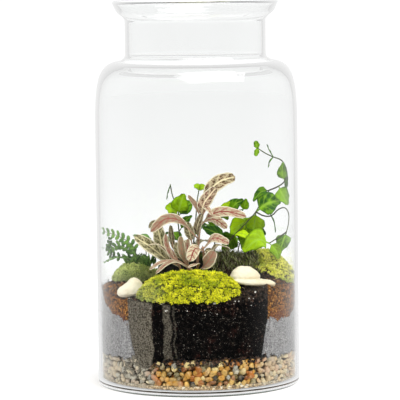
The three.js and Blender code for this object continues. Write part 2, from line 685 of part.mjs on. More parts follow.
// Climber: thin wiry stems with heart and egg shaped leaves.
const CLIMBER = {
  vine_left: {
    stem: [
      [-11, 14, 72], [-11, 14, 84], [-13, 12, 108], [-15, 10, 124],
      [-15, 9, 136], [-19, 10, 146], [-21, 10, 156],
    ],
    leaves: [
      { rib: [[-15, 9, 131], [-20, 8, 137], [-25, 9, 138]], width: 9, face: FRONT },
      { rib: [[-15, 9, 132], [-13, 5, 141], [-10, 3, 149]], width: 12, face: FRONT },
      { rib: [[-15, 10, 130], [-9, 11, 138], [-3, 13, 142]], width: 10, face: [-0.3, -1, 0.2] },
      {
        rib: [[-15, 10, 125], [-18, 7, 130], [-20, 6, 134]],
        width: 4,
        face: FRONT_UP,
        shape: SLIM_LEAF,
      },
      { rib: [[-14, 11, 119], [-9, 9, 127], [-4, 9, 131]], width: 6, face: FRONT_UP },
      {
        rib: [[-21, 10, 155], [-23, 9, 150], [-24, 9, 144]],
        width: 3,
        face: EDGE_ON,
        shape: SLIM_LEAF,
      },
      { rib: [[-13, 12, 108], [-20, 20, 116], [-27, 26, 114]], width: 10, face: UP },
    ],
  },
  vine_shoot: {
    stem: [[-4, 17, 72], [-4, 17, 84], [-3, 15, 110], [-1, 13, 130], [0, 13, 142], [2, 13, 153]],
    leaves: [
      { rib: [[2, 13, 151], [4, 12, 153], [7, 11, 152]], width: 5, face: FRONT_UP, shape: SLIM_LEAF },
      { rib: [[2, 13, 151], [0, 12, 154], [-2, 12, 153]], width: 4, face: FRONT_UP, shape: SLIM_LEAF },
      { rib: [[-3, 15, 112], [0, 22, 120], [2, 30, 118]], width: 10, face: [0, 0.4, 1] },
    ],
  },
  vine_middle: {
    stem: [
      [13, 16, 78], [13, 16, 96], [14, 18, 112], [17, 21, 124],
      [23, 23, 131], [30, 24, 133], [37, 24, 134],
    ],
    leaves: [
      { rib: [[16, 20, 121], [13, 16, 129], [19, 15, 136]], width: 9, face: FRONT },
      { rib: [[22, 23, 130], [22, 20, 136], [26, 19, 141]], width: 6, face: FRONT },
      { rib: [[27, 24, 132], [30, 22, 138], [37, 21, 142]], width: 9, face: FRONT_UP },
      { rib: [[36, 24, 133], [38, 22, 138], [39, 21, 143]], width: 6, face: FRONT },
      { rib: [[14, 19, 113], [8, 28, 122], [3, 36, 119]], width: 11, face: [0, 0.4, 1] },
      { rib: [[17, 21, 124], [20, 32, 130], [24, 42, 124]], width: 11, face: [0, 0.4, 1] },
    ],
  },
  vine_main: {
    stem: [
      [22, 5, 80], [22, 5, 98], [25, 4, 111], [35, 2, 122],
      [46, 3, 134], [52, 4, 145], [57, 3, 151],
    ],
    branches: [
      [
        [57, 3, 151], [64, 2, 154], [69, 2, 158], [71, 4, 165],
        [67, 4, 174], [60, 3, 177], [54, 2, 180], [48, 2, 184],
      ],
      [
        [46, 3, 134], [52, 1, 131], [58, 0, 131], [64, 2, 136],
        [69, 3, 137], [72, 3, 133], [72, 3, 125], [70, 1, 118],
      ],
      [[70, 1, 118], [63, -3, 114], [56, -5, 110]],
    ],
    leaves: [
      { rib: [[40, 3, 128], [33, 8, 122], [26, 9, 113]], width: 13, face: FRONT },
      { rib: [[46, 3, 134], [45, 9, 124], [43, 11, 113]], width: 14, face: FRONT, shape: HEART_LEAF },
      { rib: [[25, 4, 111], [12, 2, 119], [4, 4, 122]], width: 9, face: FRONT_UP },
      { rib: [[30, 3, 117], [36, -3, 117], [43, -4, 113]], width: 6, face: FRONT_UP, shape: SLIM_LEAF },
      {
        rib: [[46, 3, 134], [56, 1, 141], [66, 0, 143]],
        width: 16,
        face: [-0.2, -1, 0.3],
        shape: HEART_LEAF,
      },
      { rib: [[57, 3, 151], [50, 4, 149], [44, 3, 142]], width: 7, face: [-0.5, -0.8, 0.5] },
      {
        rib: [[33, 2, 120], [40, 14, 128], [48, 22, 124]],
        width: 12,
        face: [0, 0.3, 1],
        shape: HEART_LEAF,
      },
      { rib: [[64, 2, 154], [67, -3, 148], [71, -6, 140]], width: 10, face: [-0.4, -1, 0] },
      { rib: [[69, 2, 158], [67, 0, 165], [68, 0, 173]], width: 7, face: [-0.5, -1, 0] },
      {
        rib: [[71, 4, 165], [71, 7, 159], [71, 8, 152]],
        width: 4,
        face: [-1, -0.8, 0],
        shape: SLIM_LEAF,
      },
      { rib: [[60, 3, 177], [57, 2, 182], [55, 1, 187]], width: 3.4, face: EDGE_ON, shape: SLIM_LEAF },
      { rib: [[60, 3, 177], [57, 2, 174], [56, 1, 169]], width: 3.4, face: EDGE_ON, shape: SLIM_LEAF },
      { rib: [[48, 2, 184], [47, 1, 187], [46, 0, 190]], width: 4, face: FRONT, shape: SLIM_LEAF },
      { rib: [[48, 2, 184], [47, 1, 181], [46, 0, 178]], width: 3.4, face: FRONT, shape: SLIM_LEAF },
      { rib: [[70, 1, 118], [67, -4, 111], [64, -7, 103]], width: 10, face: [-0.4, -1, 0] },
      { rib: [[57, 1, 133], [60, -1, 126], [61, -2, 118]], width: 3, face: EDGE_ON, shape: SLIM_LEAF },
      {
        rib: [[56, -5, 110], [47, -10, 113], [36, -11, 105]],
        width: 15,
        face: [0, -0.7, 0.7],
        shape: HEART_LEAF,
      },
      { rib: [[56, -5, 110], [61, -9, 105], [63, -10, 98]], width: 8, face: [-0.2, -1, 0.2] },
    ],
  },
  vine_back: {
    stem: [[32, 26, 78], [32, 26, 90], [32, 26, 100], [35, 33, 108], [41, 41, 110], [44, 48, 106]],
    leaves: [
      {
        rib: [[34, 31, 106], [26, 38, 111], [18, 46, 107]],
        width: 12,
        face: [0, 0.5, 1],
        shape: HEART_LEAF,
      },
      {
        rib: [[38, 37, 109], [47, 36, 116], [55, 38, 112]],
        width: 12,
        face: [0, 0.5, 1],
        shape: HEART_LEAF,
      },
      {
        rib: [[41, 41, 110], [37, 50, 116], [31, 57, 112]],
        width: 11,
        face: [0, 0.6, 1],
        shape: HEART_LEAF,
      },
      {
        rib: [[44, 47, 107], [48, 50, 104], [48, 52, 97]],
        width: 10,
        face: [0.2, 1, 0.5],
        shape: HEART_LEAF,
      },
    ],
  },
};

// Fern: fronds from one crown on the left coco ball. Each rib starts upright in its hole.
const FERN_CROWN = [-43, 14];
const CROWN_RADIUS = 11; // of the bare ground round it, where the moss leaves off
const FROND_FOOT = 73;
const FERN = {
  frond_high: {
    foot: [-5, -2],
    rib: [[-55, 13, 109], [-62, 12, 115], [-71, 8, 119]],
    pairs: 9,
    length: 6.5,
    face: FRONT_UP,
  },
  frond_middle: {
    foot: [-6, 3],
    rib: [[-56, 19, 106], [-64, 20, 107], [-70, 17, 110]],
    pairs: 8,
    length: 6.5,
    face: FRONT_UP,
  },
  frond_low: {
    foot: [-1, -7],
    rib: [[-51, -2, 103], [-60, -6, 104], [-68, -10, 100]],
    pairs: 6,
    length: 5,
    face: UP,
  },
  frond_glass: {
    foot: [-3, 8],
    rib: [[-56, 30, 103], [-62, 31, 110], [-63, 31, 117]],
    pairs: 7,
    length: 6,
    face: [0.6, -0.8, 0.2],
  },
  frond_back: {
    foot: [2, 7],
    rib: [[-42, 33, 108], [-46, 44, 112], [-46, 51, 109]],
    pairs: 8,
    length: 7,
    face: UP,
  },
  frond_back_right: {
    foot: [6, 1],
    rib: [[-29, 27, 107], [-24, 38, 111], [-20, 49, 108]],
    pairs: 8,
    length: 7,
    face: UP,
  },
};

// A leafy stem in one piece: its stem and the leaves that grow from it.
function leafyStem({ stem: path, branches = [], leaves }, radius) {
  const stems = [path, ...branches].map((points) => stem(points, radius));
  return union([...stems, ...leaves.map(leaf)]);
}

// A frond with its foot in the ground: upright from the crown, then along its rib.
function plantedFrond({ foot, rib, pairs, length, face }) {
  const [x, y] = [FERN_CROWN[0] + foot[0], FERN_CROWN[1] + foot[1]];
  const rise = [0, 11, 23].map((step) => [x, y, FROND_FOOT + step]);
  return frond({ rib: [...rise, ...rib], pairs, length, face });
}

// ---------------------------------------------------------------- fitting the pieces to each other

const pressed = drum({ radius: INSIDE, bottom: GRAVEL_TOP, top: OPEN_AIR, segments: 48 });

const feet = [
  ...Object.values(NERVE_PLANT).map(({ stem: [foot] }) => ({ foot, radius: NERVE_STEM })),
  ...Object.values(CLIMBER).map(({ stem: [foot] }) => ({ foot, radius: VINE_STEM })),
  ...Object.values(FERN).map(({ foot: [x, y] }) => ({
    foot: [FERN_CROWN[0] + x, FERN_CROWN[1] + y, FROND_FOOT],
    radius: FROND_STEM,
  })),
];

// Plain upright holes round the stems, from just under each foot to above the ground.
const holes = feet.map(({ foot: [x, y, z], radius }) =>
  drum({ x, y, radius: radius + HOLE_CLEARANCE, bottom: z - GAP, top: OPEN_AIR, segments: HOLE_SIDES }),
);

const settle = (solid, tools) => largest(cut(solid.intersect(pressed), tools));
const stonesGrown = [leftStone(GAP), slabStone(GAP), domeStone(GAP)];
const spaces = BALLS.map(spaceOver);
const [soil, left, right] = BALLS.map(mound);
const [soilGrown, leftGrown, rightGrown] = BALLS.map((ball) => mound({ ...ball, grow: GAP }));

const ground = {
  soil_root_ball: settle(soil, [...stonesGrown, ...holes]),
  coco_root_ball_left: settle(left, [soilGrown, ...stonesGrown, ...holes]),
  coco_root_ball_right: settle(right, [soilGrown, leftGrown, ...stonesGrown, ...holes]),
  pale_fill: settle(fill(0), [soilGrown, leftGrown, rightGrown, ...spaces, ...holes]),
};
const fillGrown = cut(fill(GAP), [soil, left, right, ...spaces]);
const bareCrown = drum({
  x: FERN_CROWN[0],
  y: FERN_CROWN[1],
  radius: CROWN_RADIUS,
  bottom: FROND_FOOT,
  top: OPEN_AIR,
  segments: 12,
});
const mossBed = [soilGrown, leftGrown, rightGrown, fillGrown, ...stonesGrown, bareCrown];
const moss = {
  moss_front: settle(frontMoss(), mossBed),
  moss_left: settle(leftMoss(), mossBed),
  moss_right: settle(rightMoss(), mossBed),
};
const stones = {
  stone_left: leftStone(0),
  stone_slab: slabStone(0),
  stone_dome: domeStone(0).subtract(slabStone(GAP)),
};

// ---------------------------------------------------------------- the finished group

const terrarium = new THREE.Group();

function addPiece(name, solid, color, roughness, extra = {}) {
  const material = new THREE.MeshStandardMaterial({ color, roughness, metalness: 0, ...extra });
  const mesh = new THREE.Mesh(toGeometry(solid), material);
  mesh.name = name;
  terrarium.add(mesh);
}

const COLOURS = {
  soil_root_ball: 0x1d1712,
  coco_root_ball_left: 0x8f6c4c,
  coco_root_ball_right: 0x7c5b3c,
  pale_fill: 0x9c9a98,
  moss_front: 0x9aa21e,
  moss_left: 0x7f9a52,
  moss_right: 0x94a02c,
};

addPiece("jar", makeJar(), 0xf2f7f5, 0.02, { transparent: true, opacity: 0.3 });
addPiece("gravel_bed", makeGravel(), 0x957a4e, 0.7);
for (const [name, solid] of Object.entries({ ...ground, ...moss })) {
  addPiece(name, solid, COLOURS[name], 0.95);
}
for (const [name, solid] of Object.entries(stones)) addPiece(name, solid, 0xece4cd, 0.6);
for (const [name, plan] of Object.entries(NERVE_PLANT)) {
  addPiece(name, leafyStem(plan, NERVE_STEM), 0xa08a68, 0.55);
}
for (const [name, plan] of Object.entries(CLIMBER)) {
  addPiece(name, leafyStem(plan, VINE_STEM), 0x5f9a1c, 0.4);
}
for (const [name, plan] of Object.entries(FERN)) {
  addPiece(name, plantedFrond(plan), 0x4f783c, 0.5);
}

export default terrarium;
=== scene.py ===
"""A glass plant terrarium, dressed round its fixed frame. Metres, +Z up, the front looks along -Y.

Plan numbers of the planting are in millimetres, as on the frame, and turned to metres as they are used.
"""

import math
import random

import bpy
from bpy.props import FloatProperty, FloatVectorProperty, IntProperty, PointerProperty
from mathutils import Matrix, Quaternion, Vector, noise
from mathutils.bvhtree import BVHTree


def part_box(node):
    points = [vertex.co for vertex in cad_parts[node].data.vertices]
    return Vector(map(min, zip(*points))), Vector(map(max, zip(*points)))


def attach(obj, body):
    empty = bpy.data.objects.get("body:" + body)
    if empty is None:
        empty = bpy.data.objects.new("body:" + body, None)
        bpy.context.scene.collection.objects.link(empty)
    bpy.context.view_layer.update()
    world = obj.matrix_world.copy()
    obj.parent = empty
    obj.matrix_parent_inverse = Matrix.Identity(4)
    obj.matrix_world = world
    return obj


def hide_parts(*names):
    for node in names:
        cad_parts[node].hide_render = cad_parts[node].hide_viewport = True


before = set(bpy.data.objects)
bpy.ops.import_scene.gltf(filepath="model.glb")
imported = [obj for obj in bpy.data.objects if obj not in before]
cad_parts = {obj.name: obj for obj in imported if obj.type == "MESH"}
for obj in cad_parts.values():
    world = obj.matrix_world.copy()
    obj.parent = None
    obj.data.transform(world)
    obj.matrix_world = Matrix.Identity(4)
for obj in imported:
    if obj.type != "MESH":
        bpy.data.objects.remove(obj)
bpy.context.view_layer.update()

bl_info = {
    "name": "Glass plant terrarium",
    "version": (1, 0, 0),
    "blender": (4, 5, 0),
    "location": "View3D > Sidebar > Terrarium",
    "description": "Makes a planted glass jar piece by piece",
    "category": "Add Mesh",
}

MM = 0.001
JAR_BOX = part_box("jar")
INNER_RADIUS = 0.0758  # the wet filling is pressed out to here, a hair into the glass
GLASS_FLOOR = 0.0037  # where the jar's round inner corner starts
INNER_CORNER = 0.0041  # its radius
MIST_LEFT = -0.030  # the glass is misted from here outwards
MIST_RIGHT = 0.040


# ---------------------------------------------------------------- materials


def srgb(red, green, blue):
    """A display colour, 0 to 255, as the linear colour that a shader takes."""

    def linear(part):
        part /= 255
        return part / 12.92 if part <= 0.04045 else ((part + 0.055) / 1.055) ** 2.4

    return (linear(red), linear(green), linear(blue))


class Wire:
    """A value in a shader tree. Sums on it add Math nodes."""

    def __init__(self, paint, socket):
        self.paint = paint
        self.socket = socket

    def math(self, operation, *others):
        inputs = dict(enumerate((self, *others)))
        return self.paint.node("Math", {"operation": operation}, inputs)

    def __add__(self, other):
        return self.math("ADD", other)

    __radd__ = __add__

    def __sub__(self, other):
        return self.math("SUBTRACT", other)

    def __rsub__(self, other):
        return self.paint.node("Math", {"operation": "SUBTRACT"}, {0: other, 1: self})

    def __mul__(self, other):
        return self.math("MULTIPLY", other)

    __rmul__ = __mul__

    def __abs__(self):
        return self.math("ABSOLUTE")

    def larger(self, other):
        return self.math("MAXIMUM", other)

    def ease(self, low, high):
        """0 below low, 1 above high and smooth between. High may be the lower of the two."""
        start, end = (0.0, 1.0) if low < high else (1.0, 0.0)
        inputs = {0: self, 1: min(low, high), 2: max(low, high), 3: start, 4: end}
        return self.paint.node("MapRange", {"interpolation_type": "SMOOTHSTEP"}, inputs)


class Paint:
    """The shader tree of a material or of the world."""

    def __init__(self, name, kind="materials"):
        self.owner = getattr(bpy.data, kind).new(name)
        self.owner.use_nodes = True
        self.tree = self.owner.node_tree
        self.tree.nodes.clear()

    def node(self, kind, settings=None, inputs=None, output=0):
        """Adds a node, with its settings first, and gives back one of its outputs."""
        node = self.tree.nodes.new("ShaderNode" + kind)
        for key, value in (settings or {}).items():
            setattr(node, key, value)
        for key, value in (inputs or {}).items():
            if isinstance(value, Wire):
                self.tree.links.new(value.socket, node.inputs[key])
            else:
                node.inputs[key].default_value = value
        return Wire(self, node.outputs[output])

    def place(self):
        """The point on the piece, in metres, as three values."""
        coordinates = self.node("TexCoord", output="Object")
        return coordinates, *self.split(coordinates)

    def split(self, value, kind="SeparateXYZ"):
        """The three parts of a vector or colour."""
        parts = self.node(kind, inputs={0: value}).socket.node.outputs
        return [Wire(self, parts[i]) for i in range(3)]

    def tint(self):
        """The piece's own tint attribute, whole and as three values."""
        colour = self.node("Attribute", {"attribute_name": "tint"}, output="Color")
        return colour, *self.split(colour, "SeparateColor")

    def stretched(self, vector, *factors):
        """The vector with each part multiplied, which draws a pattern out."""
        return self.node("VectorMath", {"operation": "MULTIPLY"}, {0: vector, 1: factors})

    def noise(self, vector, size, detail=3.0, roughness=0.5):
        """Soft noise between 0 and 1, with lumps of the given size in metres."""
        inputs = {"Vector": vector, "Scale": 1 / size, "Detail": detail, "Roughness": roughness}
        return self.node("TexNoise", inputs=inputs)

    def cells(self, vector, size, feature="F1"):
        """Distance to the middle or the edge of scattered cells of the given size."""
        inputs = {"Vector": vector, "Scale": 1 / size}
        return self.node("TexVoronoi", {"feature": feature}, inputs)

    def mix(self, factor, first, second, blend="MIX"):
        """Two colours, the second as far as the factor says."""
        settings = {"data_type": "RGBA", "blend_type": blend, "clamp_factor": True}
        inputs = {0: factor, 6: self.rgba(first), 7: self.rgba(second)}
        return self.node("Mix", settings, inputs, output=2)

    def layers(self, colour, *coats):
        """A colour under several coats: each is where it lies, and its display colour."""
        for mask, coat in coats:
            colour = self.mix(mask, colour, srgb(*coat))
        return colour

    @staticmethod
    def rgba(colour):
        return colour if isinstance(colour, Wire) else (*colour, 1.0)

    def bump(self, height, distance, strength=1.0):
        inputs = {"Height": height, "Distance": distance, "Strength": strength}
        return self.node("Bump", inputs=inputs)

    def surface(self, colour, roughness, **extra):
        """The shader that faces the light. Extra inputs are named as on the Principled node."""
        inputs = {"Base Color": self.rgba(colour), "Roughness": roughness}
        for key, value in extra.items():
            inputs[key.replace("_", " ")] = value
        return self.node("BsdfPrincipled", inputs=inputs)

    def material(self, colour, roughness, **extra):
        return self.finish(self.surface(colour, roughness, **extra))

    def finish(self, shader, kind="Material"):
        output = self.tree.nodes.new("ShaderNodeOutput" + kind)
        self.tree.links.new(shader.socket, output.inputs["Surface"])
        return self.owner


def glass_material(tint):
    """Clear glass with painted shade along its foot, for the shadow where it stands on the floor. Bounced
    rays and lamps pass through it to what it holds.
    """
    paint = Paint("clear_glass")
    _, x, y, z = paint.place()
    # painted shade: the glass is tinted dark at its foot, where the jar stands on the floor
    foot = z.ease(0.0024, 0.0015) * (x * x + y * y).ease(0.00566, 0.00574)
    colour = paint.mix(foot, tint, srgb(40, 46, 40))
    shader = paint.surface(colour, 0.0, IOR=1.47, Transmission_Weight=1.0)
    passing = {"Is Reflection Ray": (1.0, 1.0, 1.0, 1.0), "Is Shadow Ray": (0.94, 0.96, 0.95, 1.0)}
    for ray, loss in passing.items():
        clear = paint.node("BsdfTransparent", inputs={"Color": loss})
        mask = paint.node("LightPath", output=ray)
        shader = paint.node("MixShader", inputs={0: mask, 1: shader, 2: clear})
    return paint.finish(shader)


def pebble_material():
    """Small river pebbles: strong in colour in the middle, misted over at both sides."""
    paint = Paint("pebbles")
    point, x, _, z = paint.place()
    colour, *_ = paint.tint()
    grain = paint.noise(point, 0.0016, 4.0)
    mottle = paint.noise(point, 0.0045, 2.0)
    edge = x + (paint.noise(point, 0.009) - 0.5) * 0.012
    left = edge.ease(MIST_LEFT, MIST_LEFT - 0.010)
    right = edge.ease(MIST_RIGHT, MIST_RIGHT + 0.012)
    stone = paint.layers(
        paint.mix(grain.ease(0.3, 0.75) * 0.35, colour, srgb(70, 55, 38), "MULTIPLY"),
        (mottle.ease(0.45, 0.7) * 0.3, (226, 205, 165)),
        (left * 0.72, (186, 180, 164)),
        (right * 0.6, (196, 184, 162)),
        (z.ease(0.012, 0.006) * 0.35, (206, 184, 140)),
    )
    dryness = left.larger(right) * 0.3 + 0.4
    return paint.material(stone, dryness, Normal=paint.bump(grain, 0.0004), Coat_Weight=0.15)


def sand_and_shade_material():
    """Sand behind the pebbles, darkened as painted shade deep in the gravel, misted over as they are, with
    small pebbles in the jar's round corner.
    """
    paint = Paint("gravel_sand_and_shade")
    point, x, _, z = paint.place()
    grain = paint.noise(point, 0.0015, 4.0, 0.7)
    spots = paint.noise(point, 0.0026, 1.0)
    gaps = paint.cells(point, 0.0034, "DISTANCE_TO_EDGE").ease(0.11, 0.03)
    sides = x.ease(MIST_LEFT, MIST_LEFT - 0.015).larger(x.ease(MIST_RIGHT, MIST_RIGHT + 0.012))
    # painted shade: the core is dark where it stands for the shade deep among the pebbles
    sand = paint.layers(
        paint.mix(grain.ease(0.35, 0.65), srgb(30, 22, 14), srgb(112, 84, 52)),
        (sides * 0.85, (160, 154, 138)),
    )
    pebbles = paint.layers(
        paint.mix(spots.ease(0.40, 0.48), srgb(132, 112, 88), srgb(206, 178, 134)),
        (spots.ease(0.56, 0.62), (226, 214, 190)),
        (sides * 0.6, (186, 180, 164)),
        (gaps * 0.8, (92, 74, 50)),
    )
    colour = paint.mix(z.ease(0.0090, 0.0078), sand, pebbles)
    return paint.material(colour, 0.85, Normal=paint.bump(grain, 0.0006))


def fibre_colour(paint, point):
    """Brown coconut fibre with pale flecks: its three patterns and its colour."""
    fibres = paint.noise(point, 0.0022, 5.0, 0.7)
    lumps = paint.noise(point, 0.008)
    flecks = paint.noise(point, 0.0011, 2.0, 0.6)
    colour = paint.layers(
        paint.mix(fibres.ease(0.4, 0.6), srgb(40, 20, 4), srgb(150, 92, 30)),
        (lumps.ease(0.55, 0.35) * 0.6, (62, 34, 16)),
        (flecks.ease(0.56, 0.64) * 0.85, (206, 150, 72)),
    )
    return fibres, lumps, flecks, colour


def grit_colour(paint, point, x, z):
    """Pale grit with upright streaks and a painted reflection that lightens it towards both sides: its grain
    and its colour.
    """
    fine = paint.noise(point, 0.0011, 3.0, 0.8)
    grains = paint.cells(point, 0.0016)
    cloud = paint.noise(point, 0.009)
    streaks = paint.noise(paint.stretched(point, 1.0, 1.0, 0.15), 0.0024)
    # painted reflection: the grit is lightened towards both sides of the jar, most towards its top
    side = (abs(x) + (cloud - 0.5) * 0.010).ease(0.060, 0.076)
    colour = paint.layers(
        paint.mix(fine.ease(0.38, 0.62), srgb(80, 78, 80), srgb(160, 158, 156)),
        (grains.ease(0.3, 0.12) * 0.55, (200, 199, 198)),
        (cloud.ease(0.4, 0.7) * 0.3, (118, 118, 122)),
        (streaks.ease(0.5, 0.7) * 0.14, (196, 196, 194)),
        (side * (z.ease(0.040, 0.078) * 0.22 + 0.06), (230, 230, 228)),
    )
    return fine, colour


def front_soil_material():
    """Wet black peat behind clear glass, misted at the left and in a stripe, with other ground round it."""
    paint = Paint("black_soil")
    point, x, y, z = paint.place()
    crumbs = paint.noise(point, 0.0030, 5.0, 0.7)
    fine = paint.noise(point, 0.0012, 2.0, 0.6)
    specks = paint.cells(point, 0.0014)
    perlite = paint.cells(point, 0.0062)
    warm = paint.noise(point, 0.010)
    wet = paint.layers(
        paint.mix(crumbs.ease(0.45, 0.75), srgb(1, 1, 1), srgb(20, 15, 12)),
        (warm.ease(0.52, 0.7) * crumbs.ease(0.45, 0.6) * 0.6, (46, 18, 12)),
        (fine.ease(0.56, 0.7) * crumbs.ease(0.42, 0.58) * 0.6, (76, 66, 56)),
        (specks.ease(0.22, 0.12) * crumbs.ease(0.48, 0.54) * 0.6, (150, 144, 134)),
        (perlite.ease(0.08, 0.04) * crumbs.ease(0.46, 0.52) * 0.8, (210, 206, 198)),
        (z.ease(0.070, 0.076) * crumbs.ease(0.4, 0.6) * 0.5, (74, 62, 50)),
    )
    misted = paint.layers(
        paint.mix(fine.ease(0.35, 0.65), srgb(50, 46, 38), srgb(116, 109, 96)),
        (crumbs.ease(0.42, 0.25) * 0.6, (48, 43, 36)),
    )
    edge = x + (paint.noise(point, 0.011, 2.0) - 0.5) * 0.007
    left = edge.ease(-0.0338, -0.0350)
    stripe = edge.ease(-0.0272, -0.0258) * edge.ease(-0.0195, -0.0215)
    thread = edge.ease(-0.0188, -0.0182) * edge.ease(-0.0166, -0.0174)
    facing = y.ease(-0.035, -0.050)
    mist = left.larger(stripe * 0.6).larger(thread * 0.35) * facing
    _, lumps, _, fibre = fibre_colour(paint, point)
    _, grit = grit_colour(paint, point, x, z)
    around = paint.mix(z.ease(0.0565, 0.0575), grit, fibre)
    reach = abs(x + 0.0005) + (lumps - 0.5) * 0.003 - z.math("MINIMUM", 0.057) * 0.163
    colour = paint.mix(reach.ease(0.0428, 0.0438), paint.mix(mist, wet, misted), around)
    bump = paint.bump(crumbs + fine * 0.4, 0.0012)
    return paint.material(colour, 0.8, Normal=bump, Specular_IOR_Level=0.02)


def coco_material():
    """Brown coconut fibre with pale flecks, redder along its foot and under dark soil on top."""
    paint = Paint("coco_fibre")
    point, x, _, z = paint.place()
    fibres, lumps, flecks, colour = fibre_colour(paint, point)
    ragged = z + (lumps - 0.5) * 0.010
    foot = ragged.ease(0.066, 0.060) * abs(x).ease(0.075, 0.06)
    soil = paint.mix(fibres.ease(0.4, 0.7), srgb(20, 15, 12), srgb(78, 58, 42))
    colour = paint.layers(colour, (foot * 0.55, (100, 48, 26)))
    colour = paint.mix(ragged.ease(0.079, 0.085), colour, soil)
    bump = paint.bump(fibres + flecks * 0.5, 0.0014)
    return paint.material(colour, 0.85, Normal=bump, Specular_IOR_Level=0.1)


def dark_ground_material():
    """Dark crumbs, root threads and scraps on top of the soil."""
    paint = Paint("ground_crumbs")
    point, *_ = paint.place()
    colour, *_ = paint.tint()
    grain = paint.noise(point, 0.0009, 3.0)
    colour = paint.mix(grain.ease(0.35, 0.7) * 0.5, colour, srgb(60, 48, 38), "MULTIPLY")
    return paint.material(colour, 0.8, Normal=paint.bump(grain, 0.0004))


def fill_material():
    """Fine pale grit."""
    paint = Paint("pale_grit")
    point, x, _, z = paint.place()
    fine, grey = grit_colour(paint, point, x, z)
    return paint.material(grey, 0.9, Normal=paint.bump(fine, 0.0005), Specular_IOR_Level=0.2)


def stone_material():
    """Smooth cream limestone pebbles, tan along the lower part of the right ones: painted shade under them,
    and soil on them.
    """
    paint = Paint("cream_stone")
    point, x, _, z = paint.place()
    soft = paint.noise(point, 0.010, 3.0)
    fine = paint.noise(point, 0.0012, 4.0)
    pits = paint.cells(point, 0.0026)
    # painted shade and soil: tan along the lower part of the right stones
    under = x.ease(0.010, 0.020) * (z + soft * 0.002).ease(0.0850, 0.0830)
    colour = paint.layers(
        paint.mix(soft.ease(0.35, 0.7), srgb(238, 230, 206), srgb(224, 211, 180)),
        (under * 0.75, (176, 152, 108)),
        (fine.ease(0.6, 0.8) * 0.35, (196, 178, 142)),
        (pits.ease(0.12, 0.05) * 0.35, (170, 150, 118)),
    )
    return paint.material(colour, 0.62, Normal=paint.bump(soft * 2.0 + fine * 0.4, 0.0008, 0.7))


def moss_material(name, deep, shade, mid, bright):
    """Moss tufts: the tint holds the tuft's hue and how near the point is to its tip, which takes the colour
    from painted shade at the tuft's foot to the leaf's colour at its tip.
    """
    paint = Paint(name)
    point, x, _, z = paint.place()
    _, hue, tip, _ = paint.tint()
    patch = paint.noise(point, 0.007)
    green = paint.noise(point, 0.013)
    lively = (hue * 0.6 + patch.ease(0.35, 0.65) * 0.4).ease(0.15, 0.75)
    leaf = paint.layers(paint.mix(lively, srgb(*mid), bright), (green.ease(0.48, 0.62) * 0.65, shade))
    # painted shade: darker towards each tuft's foot, down to the deep colour
    colour = paint.mix(tip.ease(0.05, 0.75), srgb(*deep), leaf)
    haze = x.ease(-0.020, -0.038) * z.ease(0.094, 0.080)
    return paint.material(
        paint.layers(colour, (haze * 0.5, (158, 164, 120))), 0.5, Specular_IOR_Level=0.3
    )


def vein_masks(paint, pairs, slant):
    """A leaf's own UV map, the distance from its rib, and masks of its rib and side veins."""
    uv = paint.node("TexCoord", output="UV")
    along, across, _ = paint.split(uv)
    side = abs(across - 0.5) * 2.0
    beat = abs((along * pairs - side * slant).math("FRACT") - 0.5)
    return uv, side, side.ease(0.17, 0.06), beat.ease(0.17, 0.05)


def nerve_leaf_material():
    """Nerve plant leaf: olive to pink blade, or a pale one with red veins, with a net of fine veins."""
    paint = Paint("nerve_leaf")
    uv, side, rib, veins = vein_masks(paint, 6.0, 1.0)
    _, pink, pale, dark = paint.tint()
    net = paint.cells(paint.stretched(uv, 16.0, 6.0, 1.0), 1.0, "DISTANCE_TO_EDGE")
    point, *_ = paint.place()
    blotch = paint.noise(point, 0.004)
    blade = paint.layers(
        paint.mix(pink, srgb(74, 78, 20), srgb(116, 44, 42)),
        (blotch.ease(0.4, 0.6) * 0.7, (62, 54, 24)),
        (pale.ease(0.0, 0.9) * 0.9, (220, 208, 172)),
        (dark, (56, 38, 18)),
    )
    cream = paint.mix(pink * 0.5, srgb(226, 218, 168), srgb(232, 200, 180))
    vein = paint.layers(cream, (pale.ease(0.1, 0.45), (140, 54, 50)))
    mask = (veins * (0.6 + pale * 0.3)).larger(net.ease(0.10, 0.03) * 0.55) * (1.0 - dark * 0.6)
    colour = paint.mix(mask, blade, vein)
    colour = paint.layers(colour, (side.ease(0.78, 0.93) * (0.9 - dark * 0.5), (238, 228, 198)))
    colour = paint.mix(rib * (1.0 - dark * 0.5), colour, vein)
    bump = paint.bump(1.0 - mask.larger(rib), 0.0004, 0.6)
    return paint.material(colour, 0.55, Normal=bump, Specular_IOR_Level=0.2)


def vine_leaf_material():
    """Climber leaf: fresh green with paler veins, darker towards its edge, with painted light and shade in
    patches and on whole leaves as its tint says.
    """
    paint = Paint("vine_leaf")
    _, side, rib, veins = vein_masks(paint, 5.0, 1.6)
    _, bright, dark, _ = paint.tint()
    point, *_ = paint.place()
    blotch = paint.noise(point, 0.0065)
    mask = (rib * 0.75).larger(veins * 0.35 * side.ease(1.0, 0.7)) * (1.0 - dark * 0.6)
    # painted light and shade: the blotches are lit and shaded patches, and bright and dark light or shade
    # whole leaves
    colour = paint.layers(
        paint.mix(blotch.ease(0.38, 0.62), srgb(34, 86, 0), srgb(118, 168, 2)),
        (bright, (190, 224, 4)),
        (dark, (22, 66, 6)),
        (side.ease(0.75, 1.0) * 0.5, (44, 96, 6)),
        (mask, (150, 190, 56)),
    )
    bump = paint.bump(1.0 - rib.larger(veins), 0.0003, 0.5)
    return paint.material(colour, 0.5, Normal=bump, Specular_IOR_Level=0.12)


